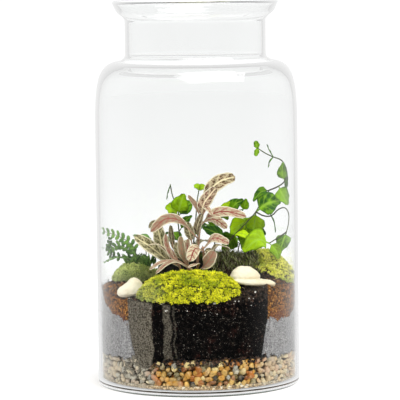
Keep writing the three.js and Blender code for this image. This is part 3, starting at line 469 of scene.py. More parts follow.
def fern_leaf_material():
    """Small fern leaflets, mid green with paler and darker ones among them."""
    paint = Paint("fern_leaflet")
    _, _, rib, _ = vein_masks(paint, 4.0, 1.0)
    _, bright, dark, _ = paint.tint()
    point, *_ = paint.place()
    blotch = paint.noise(point, 0.004)
    colour = paint.layers(
        paint.mix(blotch.ease(0.35, 0.7), srgb(50, 96, 28), srgb(88, 138, 40)),
        (bright * 0.7, (140, 184, 60)),
        (dark * 0.7, (30, 62, 26)),
        (rib * 0.35, (150, 180, 100)),
    )
    return paint.material(colour, 0.5)


def stem_material(name, young, old):
    """A stem that goes from one display colour at its foot to another at its tip, as its tint says."""
    paint = Paint(name)
    point, *_ = paint.place()
    _, age, *_ = paint.tint()
    streak = paint.noise(point, 0.002, 3.0)
    colour = paint.mix(age, srgb(*old), srgb(*young))
    return paint.material(paint.layers(colour, (streak.ease(0.4, 0.7) * 0.3, old)), 0.5)


def floor_material():
    """Plain pale studio floor."""
    paint = Paint("studio_floor")
    point, *_ = paint.place()
    colour = paint.mix(paint.noise(point, 0.6, 1.0), srgb(252, 252, 252), srgb(254, 254, 254))
    return paint.material(colour, 0.9, Specular_IOR_Level=0.0)


# ---------------------------------------------------------------- making pieces


def deselect():
    """Nothing selected and nothing active, so that an operator acts on new work alone."""
    if bpy.context.mode != "OBJECT":
        bpy.ops.object.mode_set(mode="OBJECT")
    bpy.ops.object.select_all(action="DESELECT")


def choose(piece):
    """Selects one piece alone and makes it the active one."""
    deselect()
    piece.select_set(True)
    bpy.context.view_layer.objects.active = piece


def apply_modifier(piece, kind, **settings):
    """Adds a modifier and applies it."""
    choose(piece)
    bpy.ops.object.modifier_add(type=kind)
    modifier = piece.modifiers[-1]
    for key, value in settings.items():
        setattr(modifier, key, value)
    bpy.ops.object.modifier_apply(modifier=modifier.name)


def tidy_mesh(piece, merge):
    """Doubles merged, and faces turned outwards."""
    choose(piece)
    bpy.ops.object.mode_set(mode="EDIT")
    bpy.ops.mesh.select_all(action="SELECT")
    bpy.ops.mesh.remove_doubles(threshold=merge)
    bpy.ops.mesh.normals_make_consistent(inside=False)
    bpy.ops.object.mode_set(mode="OBJECT")


def smooth_shade(piece, angle=None):
    """Smooth shading, or only over edges that turn less than angle degrees."""
    choose(piece)
    if angle is None:
        bpy.ops.object.shade_smooth()
    else:
        bpy.ops.object.shade_smooth_by_angle(angle=math.radians(angle))


def place_piece(piece, slot, *nodes, material=None):
    """Fixes a finished piece to the frame, in its material where it hasn't got one yet."""
    if material:
        piece.data.materials.append(material)
    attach(piece, "root")
    if nodes:
        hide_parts(*nodes)


def link_piece(name, mesh):
    """A piece of that mesh, in the scene."""
    piece = bpy.data.objects.new(name, mesh)
    bpy.context.scene.collection.objects.link(piece)
    return piece


def add_tints(mesh, tints):
    """The tint attribute that materials read, with one tint for each point."""
    layer = mesh.attributes.new("tint", "FLOAT_COLOR", "POINT")
    for value, tint in zip(layer.data, tints):
        value.color = (*tint, 1.0)


class Build:
    """Points, faces, UVs and tints of one piece while it is put together."""

    def __init__(self):
        self.points, self.faces, self.uvs, self.tints = [], [], [], []

    def add(self, points, faces, tints, uvs=None):
        """Adds a shape. Tints is one tint, or one for each point."""
        start = len(self.points)
        self.points += points
        self.faces += [tuple(start + i for i in face) for face in faces]
        self.tints += tints if isinstance(tints, list) else [tints] * len(points)
        self.uvs += uvs or [(0.0, 0.5)] * len(points)

    def finish(self, name, material):
        mesh = bpy.data.meshes.new(name)
        mesh.from_pydata(self.points, [], self.faces)
        layer = mesh.uv_layers.new(name="UVMap")
        for loop in mesh.loops:
            layer.data[loop.index].uv = self.uvs[loop.vertex_index]
        add_tints(mesh, self.tints)
        mesh.materials.append(material)
        return link_piece(name, mesh)


def join(name, pieces):
    """Several pieces as one, under the first one's material slots."""
    choose(pieces[0])
    for piece in pieces[1:]:
        piece.select_set(True)
    bpy.ops.object.join()
    pieces[0].name = pieces[0].data.name = name
    return pieces[0]


def spline_point(points, t):
    """A point on the smooth curve through the points, with t from 0 to 1."""
    place = min(max(t, 0.0), 1.0) * (len(points) - 1)
    i = min(int(place), len(points) - 2)
    u = place - i
    b, c = points[i], points[i + 1]
    a = points[i - 1] if i > 0 else 2 * b - c
    d = points[i + 2] if i + 2 < len(points) else 2 * c - b
    ab, bc, cd = (math.sqrt(max((q - p).length, 1e-9)) for p, q in ((a, b), (b, c), (c, d)))
    out = ((b - a) / ab - (c - a) / (ab + bc) + (c - b) / bc) * bc
    into = ((c - b) / bc - (d - b) / (bc + cd) + (d - c) / cd) * bc
    u2, u3 = u * u, u * u * u
    return b * (2 * u3 - 3 * u2 + 1) + out * (u3 - 2 * u2 + u) + c * (3 * u2 - 2 * u3) + into * (u3 - u2)


def spline_frame(points, t, face):
    """Point, and directions along, across and up, on a rib whose face looks towards face."""
    ahead, behind = spline_point(points, t + 0.01), spline_point(points, t - 0.01)
    along = (ahead - behind).normalized()
    across = face.cross(along).normalized()
    return spline_point(points, t), along, across, along.cross(across).normalized()


def add_tube(build, points, radius, tip_radius, tint_foot, tint_tip, sides=7, pitch=0.0025):
    """A closed round stem through the points, thinner towards its tip."""
    length = sum((b - a).length for a, b in zip(points, points[1:]))
    steps = max(3, int(length / pitch))
    rings, tints, faces = [], [], []
    side = Vector((0.3, 1.0, 0.2)).normalized()
    for step in range(steps + 1):
        t = step / steps
        at, _, across, side = spline_frame(points, t, side)
        thick = radius + (tip_radius - radius) * t
        tints += [tuple(a + (b - a) * t for a, b in zip(tint_foot, tint_tip))] * sides
        for k in range(sides):
            angle = math.tau * k / sides
            rings.append(at + thick * (across * math.cos(angle) + side * math.sin(angle)))
            if step < steps:
                a, b = step * sides + k, step * sides + (k + 1) % sides
                faces.append((a, b, b + sides, a + sides))
    faces.append(tuple(reversed(range(sides))))
    faces.append(tuple(range(steps * sides, (steps + 1) * sides)))
    build.add(rings, faces, tints)


# Half widths along a leaf as (place, share of the half width). The narrow start is its stalk.
NERVE_LEAF = [(0, 0.12), (0.2, 0.12), (0.32, 0.6), (0.48, 0.95), (0.66, 1.0), (0.84, 0.8)]
HEART_LEAF = [(0, 0.06), (0.17, 0.06), (0.2, 0.45), (0.29, 0.88), (0.45, 1.0), (0.66, 0.8)]
HEART_LEAF += [(0.86, 0.36)]
SLIM_LEAF = [(0, 0.3), (0.15, 0.6), (0.4, 1.0), (0.72, 0.8)]
LEAFLET = [(0, 0.3), (0.15, 0.8), (0.45, 1.0), (0.75, 0.8)]


def leaf_share(shape, t):
    """How wide the leaf is at t, with a rounded tip."""
    for (t0, s0), (t1, s1) in zip(shape, shape[1:]):
        if t <= t1:
            u = (t - t0) / (t1 - t0)
            return s0 + (s1 - s0) * u * u * (3 - 2 * u)
    t0, s0 = shape[-1]
    u = (t - t0) / (1 - t0)
    return s0 * math.sqrt(max(0.0, 1 - u * u)) if u < 1 else 0.0


def add_leaf(build, rib, width, face, shape, tint, fold, wave=0.05, quilt=0.0, rows=14, columns=4):
    """A thin leaf along its rib. Fold lifts its edges, wave ripples them, quilt swells it between veins."""
    facing = Vector(face).normalized()
    wide = 2 * columns + 1
    points, uvs, faces = [], [], []
    for row in range(rows + 1):
        t = row / rows
        t = t if t < 0.85 else 1 - (1 - t) ** 1.6 * 0.15 ** -0.6  # closer rows round the tip
        at, _, across, up = spline_frame(rib, min(t, 0.995), facing)
        half = max(width / 2 * leaf_share(shape, t), 0.00035 if row < rows else 0.0001)
        past_stalk = min(1.0, max(0.0, (t - 0.22) / 0.15))
        for column in range(-columns, columns + 1):
            s = column / columns
            ripple = s * abs(s) * wave * width * math.sin(13.0 * t + 1.7 * (s > 0))
            swell = abs(math.sin(math.pi * (8.0 * t - 1.2 * abs(s)))) * math.sin(math.pi * abs(s))
            lift = abs(s) * fold * half + past_stalk * (ripple + quilt * width * swell)
            points.append(press(at + across * (s * half) + up * lift))
            uvs.append((t, 0.5 + 0.5 * s))
            if row < rows and column < columns:
                a = row * wide + column + columns
                faces.append((a, a + 1, a + wide + 1, a + wide))
    build.add(points, faces, tint, uvs)


def mm_points(points):
    """Points of the plan, in metres."""
    return [Vector(point) * MM for point in points]


# ---------------------------------------------------------------- jar

# Height above the shoulder's start, and how far the shoulder has drawn in there.
SHOULDER = [(0, 0), (13, 0.7), (22, 1.8), (30, 3.8), (35.5, 6.9), (38.6, 10.4), (40.7, 15)]
SHOULDER += [(42, 20.5)]


def arc(r, z, radius, start, end, steps):
    """Points of an arc in the profile plane, angles in degrees from outward."""
    turns = [math.radians(start + (end - start) * i / steps) for i in range(steps + 1)]
    return [(r + radius * math.cos(turn), z + radius * math.sin(turn)) for turn in turns]


def smooth_run(points, steps):
    """A smooth run of profile points through the ones given."""
    spots = [Vector((r, 0, z)) for r, z in points]
    count = steps * (len(points) - 1)
    run = [spline_point(spots, i / count) for i in range(count + 1)]
    return [(p.x, p.z) for p in run]


def straight(start, end):
    """A straight run with a point close to each end, which keeps the glass truly flat between them."""
    first, last = Vector(start), Vector(end)
    step = (last - first).normalized() * 0.6
    return [tuple(p) for p in (first, first + step, last - step, last)]


def jar_profile(jar):
    """The jar's wall in section, as radius and height in metres, from the axis round to the axis."""
    r, neck, wall, top = (v / MM for v in (jar.body_radius, jar.neck_radius, jar.wall, jar.height))
    floor, corner, bead, foot = 3.8, 4.0, 1.6, 0.9
    start, neck_low, neck_high = 212.0, 259.0, 285.0
    bead_r, bead_z = jar.rim_radius / MM - bead, top - bead
    within, throat = r - wall, neck - wall
    shoulder = [(r - inset, start + rise) for rise, inset in SHOULDER]
    inner = [(within - 1.14 * inset, start + 0.93 * rise) for rise, inset in SHOULDER[:-1]]
    outside = [(0, foot), *straight((r - 30, foot), (r - 22, foot)), *straight((r - 18, 0), (r - corner, 0))]
    outside += arc(r - corner, corner, corner, -90, 0, 8)
    outside += straight((r, corner), (r, start))
    outside += smooth_run([*shoulder, (neck + 0.6, neck_low - 2.6), (neck, neck_low)], 4)
    outside += straight((neck, neck_low), (neck, neck_high))
    flare = [(neck, neck_high), (neck + 1.7, neck_high + 2.4), (neck + 6.1, neck_high + 6.2)]
    outside += smooth_run([*flare, (bead_r + 1.1, bead_z - 1.2)], 4)
    outside += arc(bead_r, bead_z, bead, -40, 120, 8)
    lip = [(bead_r - 1.6, bead_z), (neck + 3, neck_high + 7.5), (neck - 0.6, neck_high + 3.4)]
    inside = smooth_run([*lip, (throat, neck_high - 1)], 4)
    inside += straight((throat, neck_high - 1), (throat, neck_low - 2))
    inside += smooth_run([(throat, neck_low - 2), *reversed(inner)], 4)
    inside += straight((within, start), (within, floor + corner))
    inside += arc(within - corner, floor + corner, corner, 0, -90, 6)
    inside += straight((within - corner, floor), (within - corner - 8, floor))
    return [(p * MM, q * MM) for p, q in [*outside, *inside, (0, floor)]]


def spin_profile(name, profile, steps):
    """A round piece from its section, given as radius and height in metres."""
    mesh = bpy.data.meshes.new(name)
    edges = [(i, i + 1) for i in range(len(profile) - 1)]
    mesh.from_pydata([(r, 0, z) for r, z in profile], edges, [])
    piece = link_piece(name, mesh)
    choose(piece)
    bpy.ops.object.mode_set(mode="EDIT")
    bpy.ops.mesh.select_all(action="SELECT")
    bpy.ops.mesh.spin(steps=steps, angle=math.tau, center=(0, 0, 0), axis=(0, 0, 1))
    bpy.ops.object.mode_set(mode="OBJECT")
    tidy_mesh(piece, 1e-5)
    return piece


def make_jar(jar):
    """The glass jar."""
    piece = spin_profile("jar_glass", jar_profile(jar), jar.facets)
    smooth_shade(piece)
    place_piece(piece, "glass", "jar", material=glass_material(jar.tint))


# ---------------------------------------------------------------- gravel and ground

FLOOR_PEBBLES = 150
GLASS_CRUMBS = 420  # in the gravel, close to the glass
GOLDEN_TURN = math.radians(137.5)  # spreads the floor's pebbles evenly
# Display colour, and how often it comes up.
PEBBLE_COLOURS = {
    (200, 146, 58): 5,
    (216, 172, 88): 5,
    (182, 108, 30): 4,
    (146, 84, 26): 2,
    (224, 200, 134): 4,
    (150, 138, 98): 2,
    (172, 168, 150): 2,
    (98, 84, 52): 2,
    (46, 44, 42): 2,
}


def unit_ball(subdivisions):
    """Points and faces of a ball of radius 1."""
    deselect()
    bpy.ops.mesh.primitive_ico_sphere_add(subdivisions=subdivisions, radius=1.0)
    ball = bpy.context.active_object
    points = [v.co.copy() for v in ball.data.vertices]
    faces = [tuple(p.vertices) for p in ball.data.polygons]
    bpy.data.objects.remove(ball)
    return points, faces


def turned_axes(rng, outward):
    """Two directions across outward, at a random turn."""
    side = outward.orthogonal().normalized()
    other = outward.cross(side)
    angle = rng.uniform(0, math.tau)
    first = side * math.cos(angle) + other * math.sin(angle)
    return first, outward.cross(first)


def round_jar(radius, angle, z=0.0):
    """A point round the jar's axis. With a radius of 1 it is a direction away from it."""
    return Vector((radius * math.cos(angle), radius * math.sin(angle), z))


def from_axis(point):
    """How far a point is from the jar's axis."""
    return math.hypot(point.x, point.y)


def press(point):
    """Keeps a point of the filling inside the jar's wall, floor and round inner corner."""
    point.z = max(point.z, GLASS_FLOOR + 1.2 * MM)
    drop = max(0.0, GLASS_FLOOR + INNER_CORNER - point.z)
    limit = INNER_RADIUS - INNER_CORNER + math.sqrt(max(0.0, INNER_CORNER**2 - drop * drop))
    reach = from_axis(point)
    if reach > limit:
        point.x *= limit / reach
        point.y *= limit / reach
    return point


def add_lump(build, ball, centre, outward, sizes, rng, tint, rough):
    """A rounded uneven lump: half sizes are along two random directions and outward."""
    points, faces = ball
    first, second = turned_axes(rng, outward)
    shift = Vector((rng.uniform(0, 99), rng.uniform(0, 99), rng.uniform(0, 99)))
    made = []
    for p in points:
        swell = 1 + rough * noise.noise(p * 1.3 + shift)
        q = first * (p.x * sizes[0]) + second * (p.y * sizes[1]) + outward * (p.z * sizes[2])
        made.append(press(centre + q * swell))
    build.add(made, faces, tint)


def pebble_colour(rng):
    """A random pebble colour, a little lighter or darker."""
    colour = rng.choices(list(PEBBLE_COLOURS), PEBBLE_COLOURS.values())[0]
    light = rng.uniform(0.75, 1.15)
    return tuple(min(1.0, part * light) for part in srgb(*colour))


def make_gravel(gravel):
    """Two rings of pebbles behind the glass in staggered rows, and a floor of them under the dark core of
    sand and painted shade.
    """
    rng = random.Random(gravel.seed)
    low, high = (corner.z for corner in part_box("gravel_bed"))
    ball = unit_ball(2)
    build = Build()
    size = gravel.pebble_size
    pitch = size * 0.78
    for layer in range(2):
        for row in range(int((high - low) / pitch)):
            count = int(math.tau * (INNER_RADIUS - (layer + 0.5) * size) / (size * 0.93))
            for k in range(count):
                angle = math.tau * (k + 0.5 * (row % 2) + rng.uniform(-0.25, 0.25)) / count
                half = size * rng.uniform(0.3, 0.68)
                z = low + pitch * (row + 0.5) + rng.uniform(-0.2, 0.2) * size
                crest = high - half * 0.8 + rng.choice((0, 0, 1, 2)) * MM
                z = min(max(z, low + half * 0.85), crest)
                deep = INNER_RADIUS - half * 0.8 - layer * size - rng.uniform(0, 0.1) * size
                outward = round_jar(1.0, angle, rng.uniform(-0.4, 0.4)).normalized()
                sizes = (half * rng.uniform(0.9, 1.35), half * rng.uniform(0.65, 1.0), half * 0.8)
                centre = round_jar(deep, angle, z)
                add_lump(build, ball, centre, outward, sizes, rng, pebble_colour(rng), 0.5)
    for k in range(FLOOR_PEBBLES):
        radius = (INNER_RADIUS - 2.2 * size) * math.sqrt((k + 0.5) / FLOOR_PEBBLES)
        half = size * rng.uniform(0.5, 0.75)
        centre = round_jar(radius, k * GOLDEN_TURN, low + half * 0.8)
        sizes = (half, half * 0.9, half * 0.75)
        add_lump(build, ball, centre, Vector((0, 0, 1)), sizes, rng, pebble_colour(rng), 0.3)
    pebbles = build.finish("gravel", pebble_material())
    smooth_shade(pebbles)
    place_piece(pebbles, "gravel", "gravel_bed")
    make_sand_and_shade(high, size)


def make_sand_and_shade(high, size):
    """The sand and painted shade between the pebbles: a dark core behind them, and a wet bed in the jar's
    round inner corner.
    """
    corner, skin = INNER_CORNER / MM, INNER_RADIUS / MM - 0.06
    floor, top, core = GLASS_FLOOR / MM, high / MM - 0.5, skin - 1.6 * size / MM
    profile = [(0, floor + 1.6), (skin - corner, floor + 1.6)]
    profile += arc(skin - corner, floor + corner, corner, -40, 0, 8)
    profile += [(skin - 0.5, floor + corner + 0.8), (core, floor + corner + 1.2)]
    profile += [(core, top - 1.5), (core - 1.5, top), (0, top)]
    sand = spin_profile("gravel_sand_and_shade", [(r * MM, z * MM) for r, z in profile], 128)
    smooth_shade(sand, 40)
    place_piece(sand, "gravel", material=sand_and_shade_material())


def fine_copy(name, node, voxel, rounds):
    """A CAD node's shape as a fine even mesh with its corners worn round."""
    piece = link_piece(name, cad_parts[node].data.copy())
    piece.data.materials.clear()
    tidy_mesh(piece, 1e-5)
    apply_modifier(piece, "REMESH", mode="VOXEL", voxel_size=voxel)
    apply_modifier(piece, "SMOOTH", factor=0.5, iterations=rounds)
    return piece


def roughen(piece, layers, wetted=False):
    """Moves the surface in and out by noise. Layers are (height, lump size) in millimetres. A wetted piece is
    pressed flat to the glass where it faces it."""
    mesh = piece.data
    normals = [Vector(n.vector) for n in mesh.vertex_normals]
    for vertex, normal in zip(mesh.vertices, normals):
        co = vertex.co
        reach = from_axis(co)
        outwards = Vector((co.x, co.y, 0)).normalized().dot(normal)
        if wetted and reach > INNER_RADIUS - 2.5 * MM and outwards > 0.5:
            vertex.co = Vector((co.x * INNER_RADIUS / reach, co.y * INNER_RADIUS / reach, co.z))
        else:
            push = sum(height * MM * noise.noise(co / (size * MM)) for height, size in layers)
            vertex.co = press(co + normal * push)
    mesh.update()


def surface_spots(piece, count, rng, wanted):
    """Random spots on a piece, evenly by area: point and normal, where wanted(point, normal) is true."""
    mesh = piece.data
    mesh.calc_loop_triangles()
    triangles = [t for t in mesh.loop_triangles if wanted(t.center, t.normal)]
    areas = [t.area for t in triangles]
    spots = []
    for triangle in rng.choices(triangles, areas, k=count):
        a, b, c = (mesh.vertices[i].co for i in triangle.vertices)
        u, w = sorted((rng.random(), rng.random()))
        spots.append((a * u + b * (w - u) + c * (1 - w), Vector(triangle.normal)))
    return spots


def make_ground(name, node, slot, material, rounds, layers, voxel):
    """A root ball or the fill, wetted against the glass."""
    piece = fine_copy(name, node, voxel, rounds)
    roughen(piece, layers, True)
    smooth_shade(piece)
    place_piece(piece, slot, node, material=material)
    return piece


# Edges on the glass as (place across, height). The grit climbs at both sides, and the soil has sunk in at
# the left.
GRIT_TOP = [(-80, 99), (-73.8, 96), (-72.8, 84), (-71.8, 73), (-69.2, 66), (-64, 60.5), (-54, 57)]
GRIT_TOP += [(0, 56), (59, 56), (69, 56), (70.8, 58), (73, 63), (74, 72), (74.6, 90), (80, 96)]
SOIL_FOOT = [(-60, 46), (-49, 34), (-45.5, 25), (-41, 21), (-36, 22.5), (-31, 27), (-24, 29.5)]
SOIL_FOOT += [(48, 29.5), (60, 46)]
SKIN_ROWS = range(16, 112)  # rows of tiles from inside the gravel to above the root balls


def height_at(line, x):
    """The height, in metres, of a line of plan points (x, z) at x metres."""
    for (x0, z0), (x1, z1) in zip(line, line[1:]):
        if x / MM <= x1:
            return (z0 + (z1 - z0) * (x / MM - x0) / (x1 - x0)) * MM
    return line[-1][1] * MM


def make_skin(name, slot, material, shown):
    """A thin skin between the glass and what it holds, out of the small tiles that are shown."""
    pitch = 0.9 * MM
    columns = int(math.tau * INNER_RADIUS / pitch)
    points, faces, corners = [], [], {}

    def corner(k, row):
        key = (k % columns, row)
        if key not in corners:
            corners[key] = len(points)
            uneven = 0.08 * MM * noise.noise(Vector((key[0] * 0.4, row * 0.4, 3.0)))
            radius = INNER_RADIUS + 0.15 * MM + uneven
            points.append(round_jar(radius, math.tau * key[0] / columns, row * pitch))
        return corners[key]

    for k in range(columns):
        outward = round_jar(1.0, math.tau * (k + 0.5) / columns)
        ragged = 3.0 * MM * noise.noise(Vector((k * 0.13, 0.0, 7.0)))
        ragged += 1.6 * MM * noise.noise(Vector((k * 0.45, 0.0, 2.0)))
        for row in SKIN_ROWS:
            if shown(outward, (row + 0.5) * pitch, ragged):
                tile = ((k, row), (k + 1, row), (k + 1, row + 1), (k, row + 1))
                faces.append(tuple(corner(*place) for place in tile))
    build = Build()
    build.add(points, faces, (0.0, 0.0, 0.0))
    skin = build.finish(name, material)
    apply_modifier(skin, "SOLIDIFY", thickness=0.3 * MM, offset=-1.0)
    smooth_shade(skin)
    place_piece(skin, slot)


def make_grit_skin(balls, material):
    """Grit between the glass and the balls' feet, which also hides where it meets the gravel."""
    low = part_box("pale_fill")[0].z
    trees = [BVHTree.FromObject(ball, bpy.context.evaluated_depsgraph_get()) for ball in balls]

    def shown(outward, z, ragged):
        over = z > height_at(GRIT_TOP, outward.x * INNER_RADIUS) + ragged
        if over or outward.y < -0.74:  # the front is the soil's
            return False
        if low - 2.5 * MM + ragged < z < low + 1.5 * MM:
            return True
        start = outward * 0.08 + Vector((0, 0, z))
        hits = (tree.ray_cast(start, -outward, 0.009)[0] for tree in trees)
        return z > low and any(hit is not None for hit in hits)

    make_skin("grit_skin", "pale_fill", material, shown)


def make_soil_skin(material):
    """Soil that has run down between the glass and the gravel."""
    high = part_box("soil_root_ball")[0].z + 1.2 * MM

    def shown(outward, z, ragged):
        foot = height_at(SOIL_FOOT, outward.x * INNER_RADIUS) + ragged * 0.6
        return outward.y < -0.6 and foot < z < high

    make_skin("soil_skin", "black_soil", material, shown)


def make_crumbs(soil, balls, ground, material):
    """Soil crumbs and white grains that lie loose on the root balls, at the soil's rim and in the gravel."""
    rng = random.Random(ground.seed)
    ball = unit_ball(1)
    build = Build()
    black, brown, white = srgb(26, 20, 16), srgb(86, 58, 38), srgb(226, 222, 212)
    tan, misted = srgb(150, 112, 76), srgb(132, 125, 108)

    def on_top(point, normal):
        return normal.z > 0.35 and from_axis(point) < INNER_RADIUS - 1.5 * MM

    def at_rim(point, _):
        return point.y < -0.03 and point.z > 0.066 and from_axis(point) > INNER_RADIUS - 4 * MM

    # Base, count, where, half size in millimetres, tints, how often each, stretch and lift.
    plans = [
        (soil, 700, on_top, (0.4, 1.3), (black, brown, white), (8, 3, 1), (1.2, 1, 0.8), 0.3),
        (soil, 160, at_rim, (0.3, 0.8), (black, brown, white), (9, 9, 2), (1.2, 1, 0.7), 0.0),
    ]
    for coco in balls:
        plans.append((coco, 420, on_top, (0.4, 1.2), (black, brown, tan), (4, 4, 3), (1.3, 1, 0.7), 0.3))
    for base, count, wanted, halves, tints, often, stretch, lift in plans:
        for point, normal in surface_spots(base, count, rng, wanted):
            half = rng.uniform(*halves) * MM
            tint = rng.choices(tints, often)[0]
            sizes = [half * share for share in stretch]
            add_lump(build, ball, point + normal * half * lift, normal, sizes, rng, tint, 0.5)
    for _ in range(GLASS_CRUMBS):
        fallen = rng.random() < 0.35
        x = rng.uniform(-0.058, -0.040) if fallen else rng.uniform(-0.040, 0.050)
        z = rng.uniform(0.014 if fallen else 0.024, 0.031)
        half = rng.uniform(0.5, 1.2) * MM
        reach = INNER_RADIUS - half
        centre = Vector((x, -math.sqrt(reach * reach - x * x), z))
        outward = Vector((centre.x, centre.y, 0)).normalized()
        tint = misted if x < -0.036 else rng.choices((black, brown), (4, 3))[0]
        add_lump(build, ball, centre, outward, (half * 1.3, half, half * 0.8), rng, tint, 0.5)
    place_piece(build.finish("soil_crumbs", material), "black_soil")


def make_threads(soil, balls, ground, material):
    """Fine roots and fibres that lie in loops on the root balls."""
    rng = random.Random(ground.seed + 1)
    build = Build()

    def on_top(point, normal):
        return normal.z > 0.3 and from_axis(point) < INNER_RADIUS - 5 * MM

    def behind_stones(point, normal):
        return normal.z > 0.2 and 0.012 < point.x < 0.056 and -0.034 < point.y < 0.02

    pale, tan, dark = srgb(190, 176, 146), srgb(146, 112, 72), srgb(74, 56, 40)
    plans = [(soil, 60, on_top), (soil, 50, behind_stones)]
    plans += [(coco, 110, on_top) for coco in balls]
    plans += [(balls[1], 150, behind_stones)]
    for base, count, wanted in plans:
        for point, normal in surface_spots(base, count, rng, wanted):
            first, second = turned_axes(rng, normal)
            reach = rng.uniform(3, 8) * MM
            rise = rng.uniform(0.2, 2.2) * MM
            path = [
                point - first * reach * 0.5 - normal * 0.4 * MM,
                point - first * reach * 0.15 + normal * rise + second * rng.uniform(-1, 1) * MM,
                point + first * reach * 0.25 + normal * rise * 0.8,
                point + first * reach * 0.5 + second * rng.uniform(-2, 2) * MM - normal * 0.3 * MM,
            ]
            tint = rng.choices((pale, tan, dark), (3, 4, 2))[0]
            add_tube(build, path, 0.14 * MM, 0.09 * MM, tint, tint, sides=3, pitch=1.6 * MM)
    piece = build.finish("root_threads", material)
    smooth_shade(piece)
    place_piece(piece, "coco_fibre")


def make_stone(name, node, material, worn, taper=0.0, lean=0.0, flat=0.0, dome=0.0, profile=None):
    """A stone. Worn is how uneven it is, in millimetres. Taper narrows it towards its top, and lean moves its
    top sideways. Flat is the share of its height that it loses below to a flat foot, and dome what it loses
    above, most at its rim. Profile holds the heights of its underside and its top along x."""
    piece = fine_copy(name, node, 0.6 * MM, 3)
    low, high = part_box(node)
    middle, half = (low + high) / 2, (high - low) / 2
    for vertex in piece.data.vertices:
        co = vertex.co
        rise = (co.z - low.z) / (high.z - low.z)
        rise = max(0.0, rise - flat) / (1 - flat)
        side = ((co.x - middle.x) / half.x) ** 2 + ((co.y - middle.y) / half.y) ** 2
        co.z = low.z + rise * (high.z - low.z) * (1 - dome * (0.4 + 0.6 * min(1.0, side)))
        narrow = 1 - taper * rise * rise
        co.x = middle.x + (co.x - middle.x) * narrow + lean * rise * rise
        co.y = middle.y + (co.y - middle.y) * narrow
    if profile:
        follow(piece, *profile)
    roughen(piece, [(worn, 8), (0.3, 2.5)])
    smooth_shade(piece)
    place_piece(piece, "cream_stone", node, material=material)


def follow(piece, unders, tops):
    """Gives a piece the side view between two lines of plan points (x, z), slice by slice."""
    slices = {}
    for vertex in piece.data.vertices:
        slices.setdefault(round(vertex.co.x / MM), []).append(vertex.co.z)
    lowest = [(k, min(slices[k]) / MM) for k in sorted(slices)]
    highest = [(k, max(slices[k]) / MM) for k in sorted(slices)]
    for vertex in piece.data.vertices:
        foot, head, under, top = (height_at(line, vertex.co.x) for line in (lowest, highest, unders, tops))
        share = (vertex.co.z - foot) / max(head - foot, 0.1 * MM)
        vertex.co.z = under + min(max(share, 0.0), 1.0) * (top - under)


# ---------------------------------------------------------------- moss

# Spots that are drawn on a cushion and on the shoulder beside it. Those too close to others are dropped.
CUSHION_SPOTS = 9000
SHOULDER_SPOTS = 1500
TUFT_LEAVES = 12


def keep_apart(spots, gap):
    """The spots that are at least gap from every one kept before."""
    kept, grid = [], {}
    for point, normal in spots:
        cell = tuple(int(math.floor(v / gap)) for v in point)
        near = (
            other
            for dx in (-1, 0, 1)
            for dy in (-1, 0, 1)
            for dz in (-1, 0, 1)
            for other in grid.get((cell[0] + dx, cell[1] + dy, cell[2] + dz), ())
        )
        if all((point - other).length > gap for other in near):
            grid.setdefault(cell, []).append(point)
            kept.append((point, normal))
    return kept


def add_spike(build, foot, way, flat, length, half, tints):
    """A small pointed leaf: a closed three-sided spike. Tints are for foot, middle and tip."""
    mid = foot + way * length * 0.45
    up = way.cross(flat)
    points = [foot + flat * half * 0.5, foot - flat * half * 0.5, mid + flat * half, mid - flat * half]
    points += [mid + up * half * 0.7, foot + way * length]
    points = [press(p) for p in points]
    faces = [(0, 2, 4), (0, 4, 1), (1, 4, 3), (0, 1, 3), (0, 3, 2), (2, 5, 4), (4, 5, 3), (2, 3, 5)]
    build.add(points, faces, [tints[0]] * 2 + [tints[1]] * 3 + [tints[2]])


def add_tuft(build, centre, outward, size, hue, rng):
    """A star of small pointed leaves round an upright heart."""
    first, second = turned_axes(rng, outward)
    for k in range(TUFT_LEAVES):
        angle = math.tau * (k + rng.uniform(-0.3, 0.3)) / TUFT_LEAVES
        heart = k % 3 == 0
        lean = rng.uniform(0.1, 0.4) if heart else rng.uniform(0.8, 1.5)
        across = first * math.cos(angle) + second * math.sin(angle)
        way = (outward + across * lean * 1.2).normalized()
        flat = outward.cross(across).normalized()
        length = size * rng.uniform(0.75, 1.15)
        # the second part of each tint runs from painted shade at the foot up to the tip
        tints = [(hue, 0.1, 0), (hue, 0.55 if heart else 0.4, 0), (hue, 1.0 if heart else 0.8, 0)]
        add_spike(build, centre + across * size * 0.06, way, flat, length, size * 0.19, tints)


